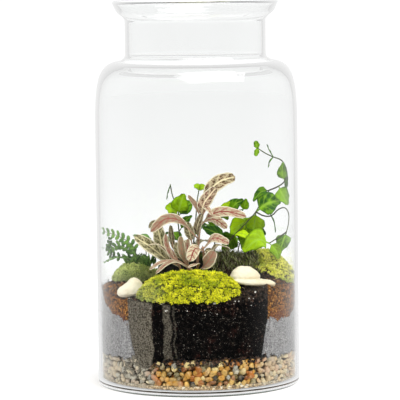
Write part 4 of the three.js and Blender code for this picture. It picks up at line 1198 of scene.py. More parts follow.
def make_moss(name, node, slot, material, size, gap, seed, beside=None):
    """A moss cushion. Beside is a ball whose right shoulder it has also grown over."""
    rng = random.Random(seed)
    cushion = fine_copy(name + "_cushion", node, 1.2 * MM, 3)
    roughen(cushion, [(1.2, 3.5)])
    normals = [Vector(n.vector) for n in cushion.data.vertex_normals]
    for vertex, normal in zip(cushion.data.vertices, normals):
        vertex.co -= normal * size * 0.5
    # the cushion under the tufts takes the painted shade of their feet
    add_tints(cushion.data, [(0.2, 0.08, 0.0)] * len(normals))
    cushion.data.materials.append(material)
    build = Build()
    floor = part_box(node)[0].z

    def outside(point, normal):
        return normal.z > -0.45 and point.z > floor + 1.0 * MM

    def shoulder(point, normal):
        return normal.z > 0.0 and point.x > 0.044 and point.y < 0.01 and point.z > 0.110 - point.x * 0.42

    spots = surface_spots(cushion, CUSHION_SPOTS, rng, outside)
    if beside:
        spots += surface_spots(beside, SHOULDER_SPOTS, rng, shoulder)
    spots = keep_apart(spots, gap)
    for point, normal in spots:
        lift = Vector((0, 0, 0.3 if normal.z < 0.9 else 0.0))
        way = (normal + lift + Vector([rng.uniform(-0.3, 0.3) for _ in range(3)])).normalized()
        swell = 1 + 0.25 * noise.noise(point / (9 * MM))
        add_tuft(build, point, way, size * swell * rng.uniform(0.8, 1.15), rng.random(), rng)
    crown = build.finish(name + "_tufts", material)
    smooth_shade(cushion)
    place_piece(join(name, [cushion, crown]), slot, node)


def make_litter(plants):
    """Dark crumbs on black heaps, short moss threads and blades round the plants' feet. The black heaps and
    the dark blades between the nerve plant's stems are partly painted shade among the stems.
    """
    rng = random.Random(plants.seed)
    ball = unit_ball(1)
    build = Build()
    black, brown, green = srgb(22, 18, 14), srgb(70, 50, 32), srgb(40, 56, 22)
    round_ball = unit_ball(3)
    # Centre and half sizes in millimetres, and how many crumbs lie on it.
    heaps = [
        ((-24, -7, 82), (8, 8, 16), 120),
        ((-8, -6, 80), (15, 8, 24), 260),
        ((13, -11, 80), (12, 8, 20), 160),
        ((24, 3, 84), (12, 8, 17), 120),
    ]
    for centre, radii, count in heaps:
        middle = Vector(centre) * MM
        sizes = [radius * 0.9 * MM for radius in radii]
        core = [middle + Vector((p.x * sizes[0], p.y * sizes[1], p.z * sizes[2])) for p in round_ball[0]]
        core = [p + (p - middle) * 0.5 * noise.noise(p / (4 * MM)) for p in core]
        # painted shade: a black core under each heap fills the shade among the stems
        build.add(core, round_ball[1], black)
        for _ in range(count):
            way = Vector([rng.gauss(0, 1) for _ in range(3)]).normalized()
            way.z = abs(way.z)
            spot = middle + Vector([w * r * MM for w, r in zip(way, radii)]) * rng.uniform(0.85, 1.0)
            half = rng.uniform(0.6, 1.6) * MM
            tint = rng.choices((black, brown, green), (5, 3, 3))[0]
            add_lump(build, ball, spot, way, (half * 1.2, half, half * 0.7), rng, tint, 0.6)
    pale, leafy, dark = srgb(186, 184, 138), srgb(112, 128, 44), srgb(44, 46, 24)
    for _ in range(1500):  # dry moss threads between the stones
        x, y = rng.uniform(12, 47), rng.uniform(-24, 14)
        slope = min(1.0, max(0.0, (-y - 8) / 32))
        rough = 5.0 * noise.noise(Vector((x, y, 0)) / 7) + 2.5 * noise.noise(Vector((x, y, 9)) / 2.5)
        top = 98 + rough - 17 * slope * slope * (3 - 2 * slope) - 0.25 * max(0, x - 44)
        way = Vector((rng.uniform(-0.9, 0.9), rng.uniform(-0.9, 0.2), 1)).normalized()
        flat = way.orthogonal().normalized()
        foot = Vector((x, y, top)) * MM
        length = rng.uniform(3, 8) * MM
        tint = rng.choices((pale, leafy, dark, brown), (3, 4, 2, 3))[0]
        add_spike(build, foot, way, flat, length, 0.3 * MM, [brown, tint, tint])
    shades = (srgb(48, 66, 16), srgb(84, 106, 30), srgb(58, 50, 26), srgb(104, 92, 44))
    # the dark blades are partly painted shade among the nerve plant's stems
    for _ in range(170):  # dark blades between the nerve plant's stems
        x, y = rng.uniform(-28, 26), rng.uniform(-9, 6)
        top = 116 - 0.75 * abs(x + 8)
        foot = Vector((x, y, rng.uniform(88, 100))) * MM
        way = Vector((rng.uniform(-0.5, 0.5), rng.uniform(-0.5, 0.3), 1)).normalized()
        flat = way.cross(Vector((rng.uniform(-0.6, 0.6), 1, 0))).normalized()
        length = max(5.0, rng.uniform(0.5, 1.0) * (top - foot.z / MM)) * MM
        tint = rng.choice(shades)
        add_spike(build, foot, way, flat, length, rng.uniform(0.7, 1.7) * MM, [shades[2], tint, tint])
    fresh = (srgb(78, 118, 38), srgb(104, 140, 56), srgb(62, 92, 34))
    for _ in range(60):  # green blades at the fern's foot
        foot = Vector((rng.uniform(-56, -33), rng.uniform(-2, 8), rng.uniform(92, 97))) * MM
        way = Vector((rng.uniform(-0.9, 0.7), rng.uniform(-0.6, 0.2), 0.8)).normalized()
        flat = way.cross(Vector((rng.uniform(-0.5, 0.5), 1, 0))).normalized()
        tint = rng.choice(fresh)
        add_spike(build, foot, way, flat, rng.uniform(5, 11) * MM, rng.uniform(0.8, 1.5) * MM, [tint] * 3)
    place_piece(build.finish("plant_litter", dark_ground_material()), "black_soil")


# ---------------------------------------------------------------- plants


UP = (0, 0, 1)
FRONT = (0, -1, 0.25)
FRONT_UP = (0, -0.75, 0.65)
EDGE_ON = (1, 0, 0.2)

# A nerve plant leaf is rib, width, face, and how pink, pale and dark it is.
NERVE_PLANT = {
    "nerve_stem_tall": {
        "stems": [[(-1, -18, 70), (-1, -18, 84), (0, -19, 100), (1, -19, 116), (3, -17, 130), (5, -15, 138)]],
        "leaves": [
            ([(3, -17, 129), (5, -17, 142), (15, -15, 155)], 10.5, (-0.2, -1, 0.3), (0.9, 0.1, 0.1)),
            (
                [(4, -15, 136), (8, -11, 149), (18, -7, 159), (30, -3, 162)],
                12.5, (-0.3, -1, 0.4), (0.55, 0.1, 0.1),
            ),
            ([(3, -17, 130), (-1, -13, 141), (-7, -13, 149)], 4, FRONT, (0.8, 0.3, 0)),
            ([(3.5, -16.7, 132), (7, -26, 140), (11, -30, 135)], 6, UP, (0.3, 0.8, 0)),
            ([(1, -20, 114), (0, -27, 125), (4, -28, 136)], 7, (-0.6, -0.8, 0), (0.5, 0, 0.85)),
            (
                [(3, -18, 126), (10, -22, 134), (21, -24, 137), (38, -26, 133)],
                9, (0, -0.9, 0.6), (0.7, 0.6, 0),
            ),
            ([(3, -17, 128), (13, -14, 130), (23, -15, 123)], 8, (0.2, -0.8, 0.6), (0.5, 1.0, 0)),
            (
                [(1, -20, 115), (-13, -24, 130), (-24, -27, 132), (-36, -29, 122)],
                9, (0, -0.85, 0.6), (0.6, 0.4, 0),
            ),
        ],
    },
    "nerve_stem_right": {
        "stems": [[(4, -22, 70), (4, -22, 84), (5, -24, 98), (4, -25, 110)]],
        "leaves": [
            ([(4, -25, 108), (13, -31, 117), (24, -34, 113)], 9, (0, -0.7, 0.8), (0.85, 0.6, 0)),
            ([(4, -25, 106), (8, -29, 107), (9, -30, 98)], 7, (0.5, -0.8, 0.3), (0.3, 0.1, 0.5)),
            ([(4, -25, 107), (-2, -34, 109), (-6, -40, 100)], 10, (-0.2, -0.9, 0.4), (0.25, 0.85, 0)),
            ([(5, -24, 100), (16, -18, 110), (25, -14, 106)], 8, UP, (0.3, 0.2, 0.2)),
        ],
    },
    "nerve_stem_left": {
        "stems": [[(-11, -20, 70), (-11, -20, 84), (-14, -21, 94), (-17, -20, 102)]],
        "leaves": [
            (
                [(-14, -21, 94), (-25, -24, 101), (-37, -28, 111), (-49, -30, 119)],
                12, (0.2, -0.8, 0.7), (0.1, 0.15, 0.1),
            ),
            ([(-16, -20, 99), (-26, -17, 106), (-29, -15, 116), (-31, -13, 125)], 11, FRONT, (0, 0.15, 0.1)),
            (
                [(-17, -20, 102), (-27, -11, 117), (-33, -7, 127), (-38, -4, 123)],
                7, (0, -0.6, 0.8), (0.1, 0, 0.6),
            ),
            ([(-15, -21, 97), (-24, -28, 107), (-31, -31, 113), (-38, -31, 112)], 4.5, UP, (0.5, 0.5, 0)),
            ([(-17, -20, 102), (-20, -16, 114), (-21, -14, 126)], 5, (0.5, -0.8, 0), (0.1, 0, 0.8)),
        ],
    },
    "nerve_tuft_centre": {
        "stems": [[(-5, -24, 70), (-5, -24, 84), (-7, -26, 92), (-9, -27, 97)]],
        "leaves": [
            (
                [(-9, -27, 96), (-20, -29, 103), (-24, -30, 113), (-25, -31, 121)],
                5, (0.6, -0.8, 0), (0.85, 0.45, 0),
            ),
            ([(-9, -27, 97), (-15, -27, 105), (-17, -27, 114)], 5, FRONT, (0.1, 0.1, 0.45)),
            ([(-8, -27, 95), (-12, -29, 106), (-13, -29, 119)], 6, FRONT, (0, 0.35, 0.15)),
            ([(-7, -26, 93), (-8, -29, 104), (-7, -30, 117)], 6, (-0.5, -0.9, 0), (0.1, 0.5, 0)),
        ],
    },
    "nerve_tuft_low": {
        "stems": [[(0, -24, 70), (0, -24, 84), (0, -26, 92)]],
        "leaves": [
            ([(0, -26, 91), (5, -35, 96), (9, -38, 101), (13, -38, 108)], 11, FRONT_UP, (0.7, 0.35, 0)),
            ([(0, -26, 91), (-1, -38, 98), (-7, -46, 96)], 5, UP, (0.1, 1.0, 0)),
            ([(0, -26, 90), (-15, -32, 99), (-27, -38, 100), (-37, -42, 94)], 5, (0, -0.3, 1), (0.6, 0.6, 0)),
            ([(0, -26, 89), (-12, -34, 97), (-22, -44, 100), (-32, -50, 92)], 5, (0, -0.3, 1), (0.6, 0.5, 0)),
        ],
    },
    "nerve_stem_back": {
        "stems": [[(-3, -11, 70), (-3, -11, 86), (-4, -8, 100), (-4, -5, 110)]],
        "leaves": [
            ([(-4, -7, 102), (-10, 0, 112), (-14, 9, 108)], 9, UP, (0.1, 0.1, 0.3)),
            ([(-4, -7, 103), (3, 0, 112), (9, 8, 110)], 9, UP, (0.1, 0.1, 0.4)),
            ([(-4, -5, 109), (-6, -2, 118), (-9, 3, 127)], 8, (0, 1, 0.3), (0.2, 0.1, 0.5)),
            ([(-4, -7, 101), (-12, -6, 108), (-20, 0, 107)], 7, UP, (0.1, 0.2, 0.3)),
        ],
    },
}

# A climber leaf is rib, width, face, how far it is painted lit and painted shaded, and its shape where it
# isn't a heart.
CLIMBER = {
    "vine_left": {
        "stems": [
            [
                (-11, 14, 72), (-11, 14, 84), (-13, 12, 108), (-15, 10, 124),
                (-15, 9, 136), (-19, 10, 146), (-21, 10, 156),
            ],
        ],
        "leaves": [
            ([(-15, 9, 131), (-20, 8, 137), (-25, 9, 138)], 9, FRONT, (0.5, 0)),
            ([(-15, 9, 132), (-13, 5, 141), (-10, 3, 149)], 12, FRONT, (0.25, 0)),
            ([(-15, 10, 130), (-9, 11, 138), (-3, 13, 142)], 10, (-0.3, -1, 0.2), (0, 0.35)),
            ([(-15, 10, 125), (-18, 7, 130), (-20, 6, 134)], 4, FRONT_UP, (0, 0.7), SLIM_LEAF),
            ([(-14, 11, 119), (-9, 9, 127), (-4, 9, 131)], 6, FRONT_UP, (0, 0.3)),
            ([(-21, 10, 155), (-23, 9, 150), (-24, 9, 144)], 3, EDGE_ON, (0, 0.5), SLIM_LEAF),
            ([(-13, 12, 108), (-20, 20, 116), (-27, 26, 114)], 10, UP, (0, 0.2)),
        ],
    },
    "vine_shoot": {
        "stems": [[(-4, 17, 72), (-4, 17, 84), (-3, 15, 110), (-1, 13, 130), (0, 13, 142), (2, 13, 153)]],
        "leaves": [
            ([(2, 13, 151), (4, 12, 153), (7, 11, 152)], 5, FRONT_UP, (0.5, 0), SLIM_LEAF),
            ([(2, 13, 151), (0, 12, 154), (-2, 12, 153)], 4, FRONT_UP, (0.4, 0), SLIM_LEAF),
            ([(-3, 15, 112), (0, 22, 120), (2, 30, 118)], 10, (0, 0.4, 1), (0, 0.2)),
        ],
    },
    "vine_middle": {
        "stems": [
            [
                (13, 16, 78), (13, 16, 96), (14, 18, 112), (17, 21, 124),
                (23, 23, 131), (30, 24, 133), (37, 24, 134),
            ],
        ],
        "leaves": [
            ([(16, 20, 121), (13, 16, 129), (19, 15, 136)], 9, FRONT, (0.1, 0.2)),
            ([(22, 23, 130), (22, 20, 136), (26, 19, 141)], 6, FRONT, (0.7, 0)),
            ([(27, 24, 132), (30, 22, 138), (37, 21, 142)], 9, FRONT_UP, (0, 0.25)),
            ([(36, 24, 133), (38, 22, 138), (39, 21, 143)], 6, FRONT, (0.1, 0.1)),
            ([(14, 19, 113), (8, 28, 122), (3, 36, 119)], 11, (0, 0.4, 1), (0, 0.1)),
            ([(17, 21, 124), (20, 32, 130), (24, 42, 124)], 11, (0, 0.4, 1), (0.2, 0)),
        ],
    },
    "vine_main": {
        "stems": [
            [(22, 5, 80), (22, 5, 98), (25, 4, 111), (35, 2, 122), (46, 3, 134), (52, 4, 145), (57, 3, 151)],
            [
                (57, 3, 151), (64, 2, 154), (69, 2, 158), (71, 4, 165),
                (67, 4, 174), (60, 3, 177), (54, 2, 180), (48, 2, 184),
            ],
            [
                (46, 3, 134), (52, 1, 131), (58, 0, 131), (64, 2, 136),
                (69, 3, 137), (72, 3, 133), (72, 3, 125), (70, 1, 118),
            ],
            [(70, 1, 118), (63, -3, 114), (56, -5, 110)],
        ],
        "leaves": [
            ([(40, 3, 128), (33, 8, 122), (26, 9, 113)], 13, FRONT, (0.5, 0)),
            ([(30, 3, 117), (26, 10, 111), (20, 11, 102)], 13, FRONT, (0.1, 0.35)),
            ([(38, 2, 124), (39, 9, 114), (36, 11, 103)], 13, FRONT, (0.2, 0.15)),
            ([(46, 3, 134), (45, 9, 124), (43, 11, 113)], 14, FRONT, (0.4, 0)),
            ([(25, 4, 111), (12, 2, 119), (4, 4, 122)], 9, FRONT_UP, (0, 0.9)),
            ([(30, 3, 117), (36, -3, 117), (43, -4, 113)], 6, FRONT_UP, (1.0, 0), SLIM_LEAF),
            ([(46, 3, 134), (56, 1, 141), (66, 0, 143)], 16, (-0.2, -1, 0.3), (0, 0.1)),
            ([(57, 3, 151), (50, 4, 149), (44, 3, 142)], 7, (-0.5, -0.8, 0.5), (0, 0.5)),
            ([(33, 2, 120), (40, 14, 128), (48, 22, 124)], 12, (0, 0.3, 1), (0.1, 0)),
            ([(64, 2, 154), (67, -3, 148), (71, -6, 140)], 10, (-0.4, -1, 0), (0.15, 0.1)),
            ([(69, 2, 158), (67, 0, 165), (68, 0, 173)], 7, (-0.5, -1, 0), (0.1, 0.3)),
            ([(71, 4, 165), (71, 7, 159), (71, 8, 152)], 4, (-1, -0.8, 0), (0, 0.5), SLIM_LEAF),
            ([(60, 3, 177), (57, 2, 182), (55, 1, 187)], 3.4, EDGE_ON, (0, 0.4), SLIM_LEAF),
            ([(60, 3, 177), (57, 2, 174), (56, 1, 169)], 3.4, EDGE_ON, (0, 0.3), SLIM_LEAF),
            ([(48, 2, 184), (47, 1, 187), (46, 0, 190)], 4, FRONT, (0.1, 0.3), SLIM_LEAF),
            ([(48, 2, 184), (47, 1, 181), (46, 0, 178)], 3.4, FRONT, (0.2, 0.2), SLIM_LEAF),
            ([(70, 1, 118), (67, -4, 111), (64, -7, 103)], 10, (-0.4, -1, 0), (0.1, 0.15)),
            ([(57, 1, 133), (60, -1, 126), (61, -2, 118)], 3, EDGE_ON, (0, 0.6), SLIM_LEAF),
            ([(56, -5, 110), (47, -10, 113), (35, -11, 104)], 16.5, (0, -0.7, 0.7), (0.45, 0)),
            ([(56, -5, 110), (61, -9, 105), (63, -10, 98)], 8, (-0.2, -1, 0.2), (0.3, 0)),
        ],
    },
    "vine_back": {
        "stems": [[(32, 26, 78), (32, 26, 90), (32, 26, 100), (35, 33, 108), (41, 41, 110), (44, 48, 106)]],
        "leaves": [
            ([(34, 31, 106), (26, 38, 111), (18, 46, 107)], 12, (0, 0.5, 1), (0.1, 0.1)),
            ([(38, 37, 109), (47, 36, 116), (55, 38, 112)], 12, (0, 0.5, 1), (0, 0.2)),
            ([(41, 41, 110), (37, 50, 116), (31, 57, 112)], 11, (0, 0.6, 1), (0.2, 0)),
            ([(44, 47, 107), (48, 50, 104), (48, 52, 97)], 10, (0.2, 1, 0.5), (0.1, 0)),
        ],
    },
}

FERN_SEED = 5
FERN_CROWN = (-43, 14)
FROND_FOOT = 73
# A frond is its foot from the crown, rib, length of its leaflets, face, and how bright it is.
FERN = {
    "frond_high": ((-5, -2), [(-51, 13, 107), (-62, 11, 115), (-74.5, 4, 120)], 5.2, FRONT_UP, 0.3),
    "frond_middle": ((-6, 3), [(-52, 19, 102), (-62, 20, 107), (-71, 15, 104)], 5.2, FRONT_UP, 0.2),
    "frond_low": ((-1, -7), [(-56, -3, 99), (-64, -6, 100), (-72, -9, 97)], 4.2, UP, 0.3),
    "frond_glass": ((-3, 8), [(-66, 24, 98), (-72, 16, 104), (-70, 15, 113)], 4.6, (0.8, -0.5, 0.1), 0.0),
    "frond_back": ((2, 7), [(-42, 33, 108), (-46, 44, 112), (-46, 51, 109)], 7, UP, 0.2),
    "frond_back_right": ((6, 1), [(-29, 27, 107), (-24, 38, 111), (-20, 49, 108)], 7, UP, 0.25),
}


def dress_plant(node, names, slot, stems, bark, leaves, blade):
    """Gives the leaves their thickness, joins the stems to them and fixes the plant to the frame."""
    stalks, blades = stems.finish(node + "_stalks", bark), leaves.finish(node + "_blades", blade)
    apply_modifier(blades, "SOLIDIFY", thickness=0.45 * MM, offset=0.0)
    smooth_shade(blades)
    smooth_shade(stalks)
    place_piece(join(node.replace(*names), [blades, stalks]), slot, node)


def grow_plant(plans, names, slot, stem, bark, stalk, blade, add_blade):
    """Every planned stem of a plant with its leaves, each on a short stalk. Stem and stalk are what add_tube
    takes after the points, and names are the word in the node's name and the one in the piece's."""
    for node, plan in plans.items():
        stems, leaves = Build(), Build()
        for path in plan["stems"]:
            add_tube(stems, mm_points(path), *stem)
        for rib, *leaf in plan["leaves"]:
            line = mm_points(rib)
            add_blade(leaves, line, *leaf)
            add_tube(stems, line[:2], *stalk)
        dress_plant(node, names, slot, stems, bark, leaves, blade)


def make_nerve_plant(plants):
    """The nerve plant."""

    def add_blade(leaves, line, width, face, tint):
        add_leaf(leaves, line, width * MM, face, NERVE_LEAF, tint, 0.16, 0.06, plants.quilt)

    stem = (1.1 * MM, 0.8 * MM, (0.2, 0, 0), (1.0, 0, 0))
    stalk = (0.6 * MM, 0.25 * MM, (0.8, 0, 0), (1.0, 0, 0), 6)
    bark, blade = stem_material("nerve_stem", (196, 150, 120), (110, 84, 56)), nerve_leaf_material()
    grow_plant(NERVE_PLANT, ("nerve", "fittonia"), "nerve_leaf", stem, bark, stalk, blade, add_blade)


def make_climber(plants):
    """The climber."""

    def add_blade(leaves, line, width, face, tint, shape=HEART_LEAF):
        add_leaf(leaves, line, width * plants.fullness * MM, face, shape, (*tint, 0), 0.22)

    stem = (0.6 * MM, 0.42 * MM, (0, 0, 0), (0.8, 0, 0))
    stalk = (0.34 * MM, 0.15 * MM, (0.5, 0, 0), (1.0, 0, 0), 5)
    bark, blade = stem_material("vine_stem", (84, 104, 44), (58, 50, 34)), vine_leaf_material()
    grow_plant(CLIMBER, ("vine", "climber"), "vine_leaf", stem, bark, stalk, blade, add_blade)


def make_fern(plants):
    """The fern: fronds with pairs of leaflets, longest in their lower half."""
    bark, blade = stem_material("fern_stem", (96, 112, 54), (64, 58, 34)), fern_leaf_material()
    rng = random.Random(FERN_SEED)
    for node, (foot, rib, length, face, tone) in FERN.items():
        x, y = FERN_CROWN[0] + foot[0], FERN_CROWN[1] + foot[1]
        upright = [(x, y, FROND_FOOT + rise) for rise in (0, 11, 23)]
        line = mm_points(upright + rib)
        stems, leaves = Build(), Build()
        add_tube(stems, line, 0.5 * MM, 0.25 * MM, (0, 0, 0), (1.0, 0, 0), sides=6)
        facing = Vector(face).normalized()
        for k in range(plants.leaflet_pairs):
            share = k / (plants.leaflet_pairs - 1)
            at, along, across, up = spline_frame(line, 0.56 + 0.43 * share, facing)
            reach = length * MM * math.sin(math.pi * (0.35 + 0.37 * share))
            for side in (-1, 1):
                way = (across * side + along * 0.55 + up * 0.16).normalized()
                spots = [at, at + way * reach * 0.55, at + way * reach - up * reach * 0.08]
                bright = min(1.0, tone + rng.uniform(-0.2, 0.4))
                tint = (max(0.0, bright), rng.uniform(0, 0.35), 0)
                normal = (up + along * rng.uniform(-0.25, 0.25)).normalized()
                add_leaf(leaves, spots, reach * 0.6, normal, LEAFLET, tint, 0.1, 0.02, rows=7, columns=2)
        dress_plant(node, ("frond", "fern"), "fern_leaf", stems, bark, leaves, blade)


# ---------------------------------------------------------------- stage


def make_stage(stage):
    """Floor, surroundings, light and camera."""
    deselect()
    bpy.ops.mesh.primitive_plane_add(size=stage.floor_size, location=(0, 0, -0.1 * MM))
    floor = bpy.context.active_object
    floor.name = "studio_floor"
    floor.data.materials.append(floor_material())
    floor.visible_glossy = False
    make_world(stage)
    make_lights(stage)
    make_camera(stage)
    bpy.context.scene.view_settings.view_transform = "Standard"


def make_world(stage):
    """White surroundings. The glass mirrors a room that is dark behind the camera and light away from it."""
    paint = Paint("studio_light", "worlds")
    _, y, _ = paint.split(paint.node("TexCoord", output="Generated"))
    room = y.ease(-0.72, 0.95) * (stage.back_light - stage.front_light) + stage.front_light
    glossy = paint.node("LightPath", output="Is Glossy Ray")
    mirrored = paint.node("LightPath", output="Is Reflection Ray") * glossy
    light = mirrored * (room - stage.world_light) + stage.world_light
    inputs = {"Color": (1.0, 1.0, 1.0, 1.0), "Strength": light}
    bpy.context.scene.world = paint.finish(paint.node("Background", inputs=inputs), "World")


def add_lamp(name, kind, place, power):
    """A lamp that points at the middle of the plants."""
    lamp = bpy.data.objects.new(name, bpy.data.lights.new(name, kind))
    lamp.location = place
    lamp.rotation_euler = (Vector((0, 0, 0.15)) - lamp.location).to_track_quat("-Z", "Y").to_euler()
    lamp.data.energy = power
    bpy.context.scene.collection.objects.link(lamp)
    return lamp.data


def make_lights(stage):
    """One wide soft box above the camera's side of the jar."""
    box = add_lamp("soft_box", "AREA", (0.28, -0.67, 1.24), stage.key_power)
    box.shape = "RECTANGLE"
    box.size, box.size_y = 1.2, 0.8


def make_camera(stage):
    """The camera stands level with the jar's mouth, well back, as a long lens does."""
    camera = bpy.data.objects.new("camera", bpy.data.cameras.new("camera"))
    camera.data.sensor_width = 36.0
    camera.data.lens = stage.lens
    camera.location = stage.camera_place
    view = Vector(stage.camera_target) - Vector(stage.camera_place)
    roll = Quaternion((0, 0, 1), stage.camera_roll)
    camera.rotation_euler = (view.to_track_quat("-Z", "Y") @ roll).to_euler()
    bpy.context.scene.collection.objects.link(camera)
    bpy.context.scene.camera = camera


# ---------------------------------------------------------------- add-on


class JarSettings(bpy.types.PropertyGroup):
    """Sizes and tint of the jar."""

    height: FloatProperty(
        name="Height", description="Height over the rim", default=JAR_BOX[1].z, unit="LENGTH"
    )
    body_radius: FloatProperty(
        name="Body radius", description="Outer radius of the body", default=JAR_BOX[1].x, unit="LENGTH"
    )
    neck_radius: FloatProperty(
        name="Neck radius", description="Outer radius of the neck", default=0.0549, unit="LENGTH"
    )
    rim_radius: FloatProperty(
        name="Rim radius", description="Outer radius of the flared lip", default=0.0645, unit="LENGTH"
    )
    wall: FloatProperty(name="Wall", description="Thickness of the glass", default=0.003, unit="LENGTH")
    facets: IntProperty(name="Facets", description="Steps round the jar", default=128, min=24)
    tint: FloatVectorProperty(
        name="Tint", description="Colour of the glass", default=(0.985, 0.992, 0.989), subtype="COLOR"
    )


class GravelSettings(bpy.types.PropertyGroup):
    """Pebbles of the drainage layer."""

    pebble_size: FloatProperty(
        name="Pebble size", description="Usual length of a pebble", default=0.0050, unit="LENGTH"
    )
    seed: IntProperty(name="Seed", description="Start of the random draw", default=7)


class GroundSettings(bpy.types.PropertyGroup):
    """Root balls, fill and what lies on them."""

    voxel: FloatProperty(
        name="Mesh size", description="Edge length of the ground's mesh", default=0.0014, unit="LENGTH"
    )
    seed: IntProperty(name="Seed", description="Start of the random draw", default=21)


class MossSettings(bpy.types.PropertyGroup):
    """Moss tufts."""

    tuft_size: FloatProperty(
        name="Tuft size", description="Length of a tuft's leaves", default=0.0027, unit="LENGTH"
    )
    tuft_gap: FloatProperty(
        name="Tuft gap", description="Least way between two tufts", default=0.0021, unit="LENGTH"
    )
    bright: FloatVectorProperty(
        name="Bright moss", description="Colour of the tips", default=srgb(250, 246, 46), subtype="COLOR"
    )


class PlantSettings(bpy.types.PropertyGroup):
    """Leaves of the three plants."""

    quilt: FloatProperty(
        name="Quilt", description="Swelling between the veins, as a share of the width", default=0.05
    )
    fullness: FloatProperty(
        name="Fullness", description="Width of the climber's leaves against the plan", default=1.22
    )
    seed: IntProperty(name="Seed", description="Start of the random draw", default=11)
    leaflet_pairs: IntProperty(
        name="Leaflet pairs", description="Pairs of leaflets on a frond", default=8, min=4
    )


class StageSettings(bpy.types.PropertyGroup):
    """Floor, light and camera."""

    floor_size: FloatProperty(
        name="Floor size", description="Side of the floor", default=160.0, unit="LENGTH"
    )
    world_light: FloatProperty(name="World light", description="Strength of the surroundings", default=1.08)
    front_light: FloatProperty(
        name="Front light", description="What the glass mirrors from behind the camera", default=0.03
    )
    back_light: FloatProperty(
        name="Back light", description="What the glass mirrors from the far side", default=0.92
    )
    key_power: FloatProperty(
        name="Key power", description="Power of the soft box", default=13.0, unit="POWER"
    )
    lens: FloatProperty(name="Lens", description="Focal length in millimetres", default=249.4)
    camera_place: FloatVectorProperty(
        name="Camera place", description="Where the camera stands", default=(0, -2.16, 0.337), unit="LENGTH"
    )
    camera_target: FloatVectorProperty(
        name="Camera target", description="What it looks at", default=(0.0023, 0, 0.144), unit="LENGTH"
    )
    camera_roll: FloatProperty(
        name="Camera roll",
        description="Turn about the line of sight",
        default=math.radians(-0.65),
        unit="ROTATION",
    )


class TERRARIUM_OT_jar(bpy.types.Operator):
    """Makes the glass jar"""

    bl_idname = "terrarium.jar"
    bl_label = "Jar"

    def execute(self, context):
        make_jar(context.scene.terrarium_jar)
        return {"FINISHED"}


class TERRARIUM_OT_gravel(bpy.types.Operator):
    """Makes the layer of pebbles"""

    bl_idname = "terrarium.gravel"
    bl_label = "Gravel"

    def execute(self, context):
        make_gravel(context.scene.terrarium_gravel)
        return {"FINISHED"}


class TERRARIUM_OT_ground(bpy.types.Operator):
    """Makes the root balls, the pale fill and what lies loose on them"""

    bl_idname = "terrarium.ground"
    bl_label = "Ground"

    def execute(self, context):
        ground = context.scene.terrarium_ground
        peat, grit = front_soil_material(), fill_material()
        fibre, crumbs = coco_material(), dark_ground_material()
        rough = [(1.6, 7), (1.0, 2.0)]
        # Name, node, slot, material, rounds of rounding, and layers of unevenness.
        plans = [
            ("front_soil", "soil_root_ball", "black_soil", peat, 2, [(1.4, 6), (0.9, 2.2)]),
            ("coco_left", "coco_root_ball_left", "coco_fibre", fibre, 3, rough),
            ("coco_right", "coco_root_ball_right", "coco_fibre", fibre, 3, rough),
            ("fill_grit", "pale_fill", "pale_fill", grit, 2, [(0.8, 5), (0.4, 1.6)]),
        ]
        soil, *balls, _ = [make_ground(*plan, ground.voxel) for plan in plans]
        make_grit_skin(balls, grit)
        make_soil_skin(peat)
        make_crumbs(soil, balls, ground, crumbs)
        make_threads(soil, balls, ground, crumbs)
        return {"FINISHED"}


class TERRARIUM_OT_moss(bpy.types.Operator):
    """Makes the three moss cushions"""

    bl_idname = "terrarium.moss"
    bl_label = "Moss"

    def execute(self, context):
        moss = context.scene.terrarium_moss
        size, gap = moss.tuft_size, moss.tuft_gap
        # the first colour of each moss is the painted shade at its tufts' feet
        fresh = moss_material("bright_moss", (84, 88, 0), (134, 160, 10), (190, 194, 6), moss.bright)
        tones = (118, 132, 62), (142, 164, 80), (186, 198, 100), srgb(228, 236, 150)
        pale = moss_material("pale_moss", *tones)
        tones = (112, 112, 14), (160, 178, 44), (216, 218, 60), srgb(252, 248, 120)
        gold = moss_material("golden_moss", *tones)
        make_moss("front_cushion", "moss_front", "bright_moss", fresh, size, gap, 3)
        make_moss("left_cushion", "moss_left", "pale_moss", pale, size * 0.85, gap * 0.7, 4)
        ball = bpy.data.objects["coco_right"]
        make_moss("right_cushion", "moss_right", "bright_moss", gold, size * 0.9, gap * 0.85, 5, ball)
        return {"FINISHED"}


class TERRARIUM_OT_stones(bpy.types.Operator):
    """Makes the three cream stones"""

    bl_idname = "terrarium.stones"
    bl_label = "Stones"

    def execute(self, context):
        cream = stone_material()
        make_stone("peaked_stone", "stone_left", cream, 1.1, taper=0.45, lean=2.5 * MM)
        unders = [(25, 84.0), (33, 82.6), (45, 81.2), (55, 80.3), (57.5, 80.5), (59.2, 82.2)]
        tops = [(25, 86.2), (30, 87.1), (46, 86.9), (54, 85.8), (57.2, 84.8), (59.2, 82.8)]
        make_stone("flat_stone", "stone_slab", cream, 0.3, profile=(unders, tops))
        make_stone("dome_stone", "stone_dome", cream, 0.5, 0.12, -0.5 * MM, flat=0.3, dome=0.32)
        return {"FINISHED"}


class TERRARIUM_OT_nerve_plant(bpy.types.Operator):
    """Makes the nerve plant's leafy stems and the litter at the plants' feet"""

    bl_idname = "terrarium.nerve_plant"
    bl_label = "Nerve plant"

    def execute(self, context):
        make_nerve_plant(context.scene.terrarium_plants)
        make_litter(context.scene.terrarium_plants)
        return {"FINISHED"}


class TERRARIUM_OT_climber(bpy.types.Operator):
    """Makes the climber's vines"""

    bl_idname = "terrarium.climber"
    bl_label = "Climber"

    def execute(self, context):
        make_climber(context.scene.terrarium_plants)
        return {"FINISHED"}


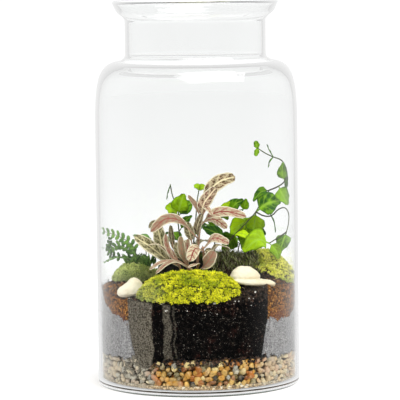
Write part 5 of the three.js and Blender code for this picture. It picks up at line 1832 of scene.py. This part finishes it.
class TERRARIUM_OT_fern(bpy.types.Operator):
    """Makes the fern's fronds"""

    bl_idname = "terrarium.fern"
    bl_label = "Fern"

    def execute(self, context):
        make_fern(context.scene.terrarium_plants)
        return {"FINISHED"}


class TERRARIUM_OT_stage(bpy.types.Operator):
    """Makes the floor, the light and the camera"""

    bl_idname = "terrarium.stage"
    bl_label = "Stage"

    def execute(self, context):
        make_stage(context.scene.terrarium_stage)
        return {"FINISHED"}


OPERATORS = (
    TERRARIUM_OT_stage,
    TERRARIUM_OT_jar,
    TERRARIUM_OT_gravel,
    TERRARIUM_OT_ground,
    TERRARIUM_OT_moss,
    TERRARIUM_OT_stones,
    TERRARIUM_OT_nerve_plant,
    TERRARIUM_OT_climber,
    TERRARIUM_OT_fern,
)


class TERRARIUM_PT_panel(bpy.types.Panel):
    """The terrarium's pieces, in the order that they are made"""

    bl_idname = "TERRARIUM_PT_panel"
    bl_label = "Terrarium"
    bl_space_type = "VIEW_3D"
    bl_region_type = "UI"
    bl_category = "Terrarium"

    def draw(self, context):
        for operator in OPERATORS:
            self.layout.operator(operator.bl_idname)


SETTINGS = {
    "terrarium_jar": JarSettings,
    "terrarium_gravel": GravelSettings,
    "terrarium_ground": GroundSettings,
    "terrarium_moss": MossSettings,
    "terrarium_plants": PlantSettings,
    "terrarium_stage": StageSettings,
}


def register():
    for cls in (*SETTINGS.values(), *OPERATORS, TERRARIUM_PT_panel):
        bpy.utils.register_class(cls)
    for name, cls in SETTINGS.items():
        setattr(bpy.types.Scene, name, PointerProperty(type=cls))


def unregister():
    for name in SETTINGS:
        delattr(bpy.types.Scene, name)
    for cls in reversed((*SETTINGS.values(), *OPERATORS, TERRARIUM_PT_panel)):
        bpy.utils.unregister_class(cls)


def main():
    register()
    bpy.ops.terrarium.stage()
    bpy.ops.terrarium.jar()
    bpy.ops.terrarium.gravel()
    bpy.ops.terrarium.ground()
    bpy.ops.terrarium.moss()
    bpy.ops.terrarium.stones()
    bpy.ops.terrarium.nerve_plant()
    bpy.ops.terrarium.climber()
    bpy.ops.terrarium.fern()


if __name__ == "__main__":
    main()
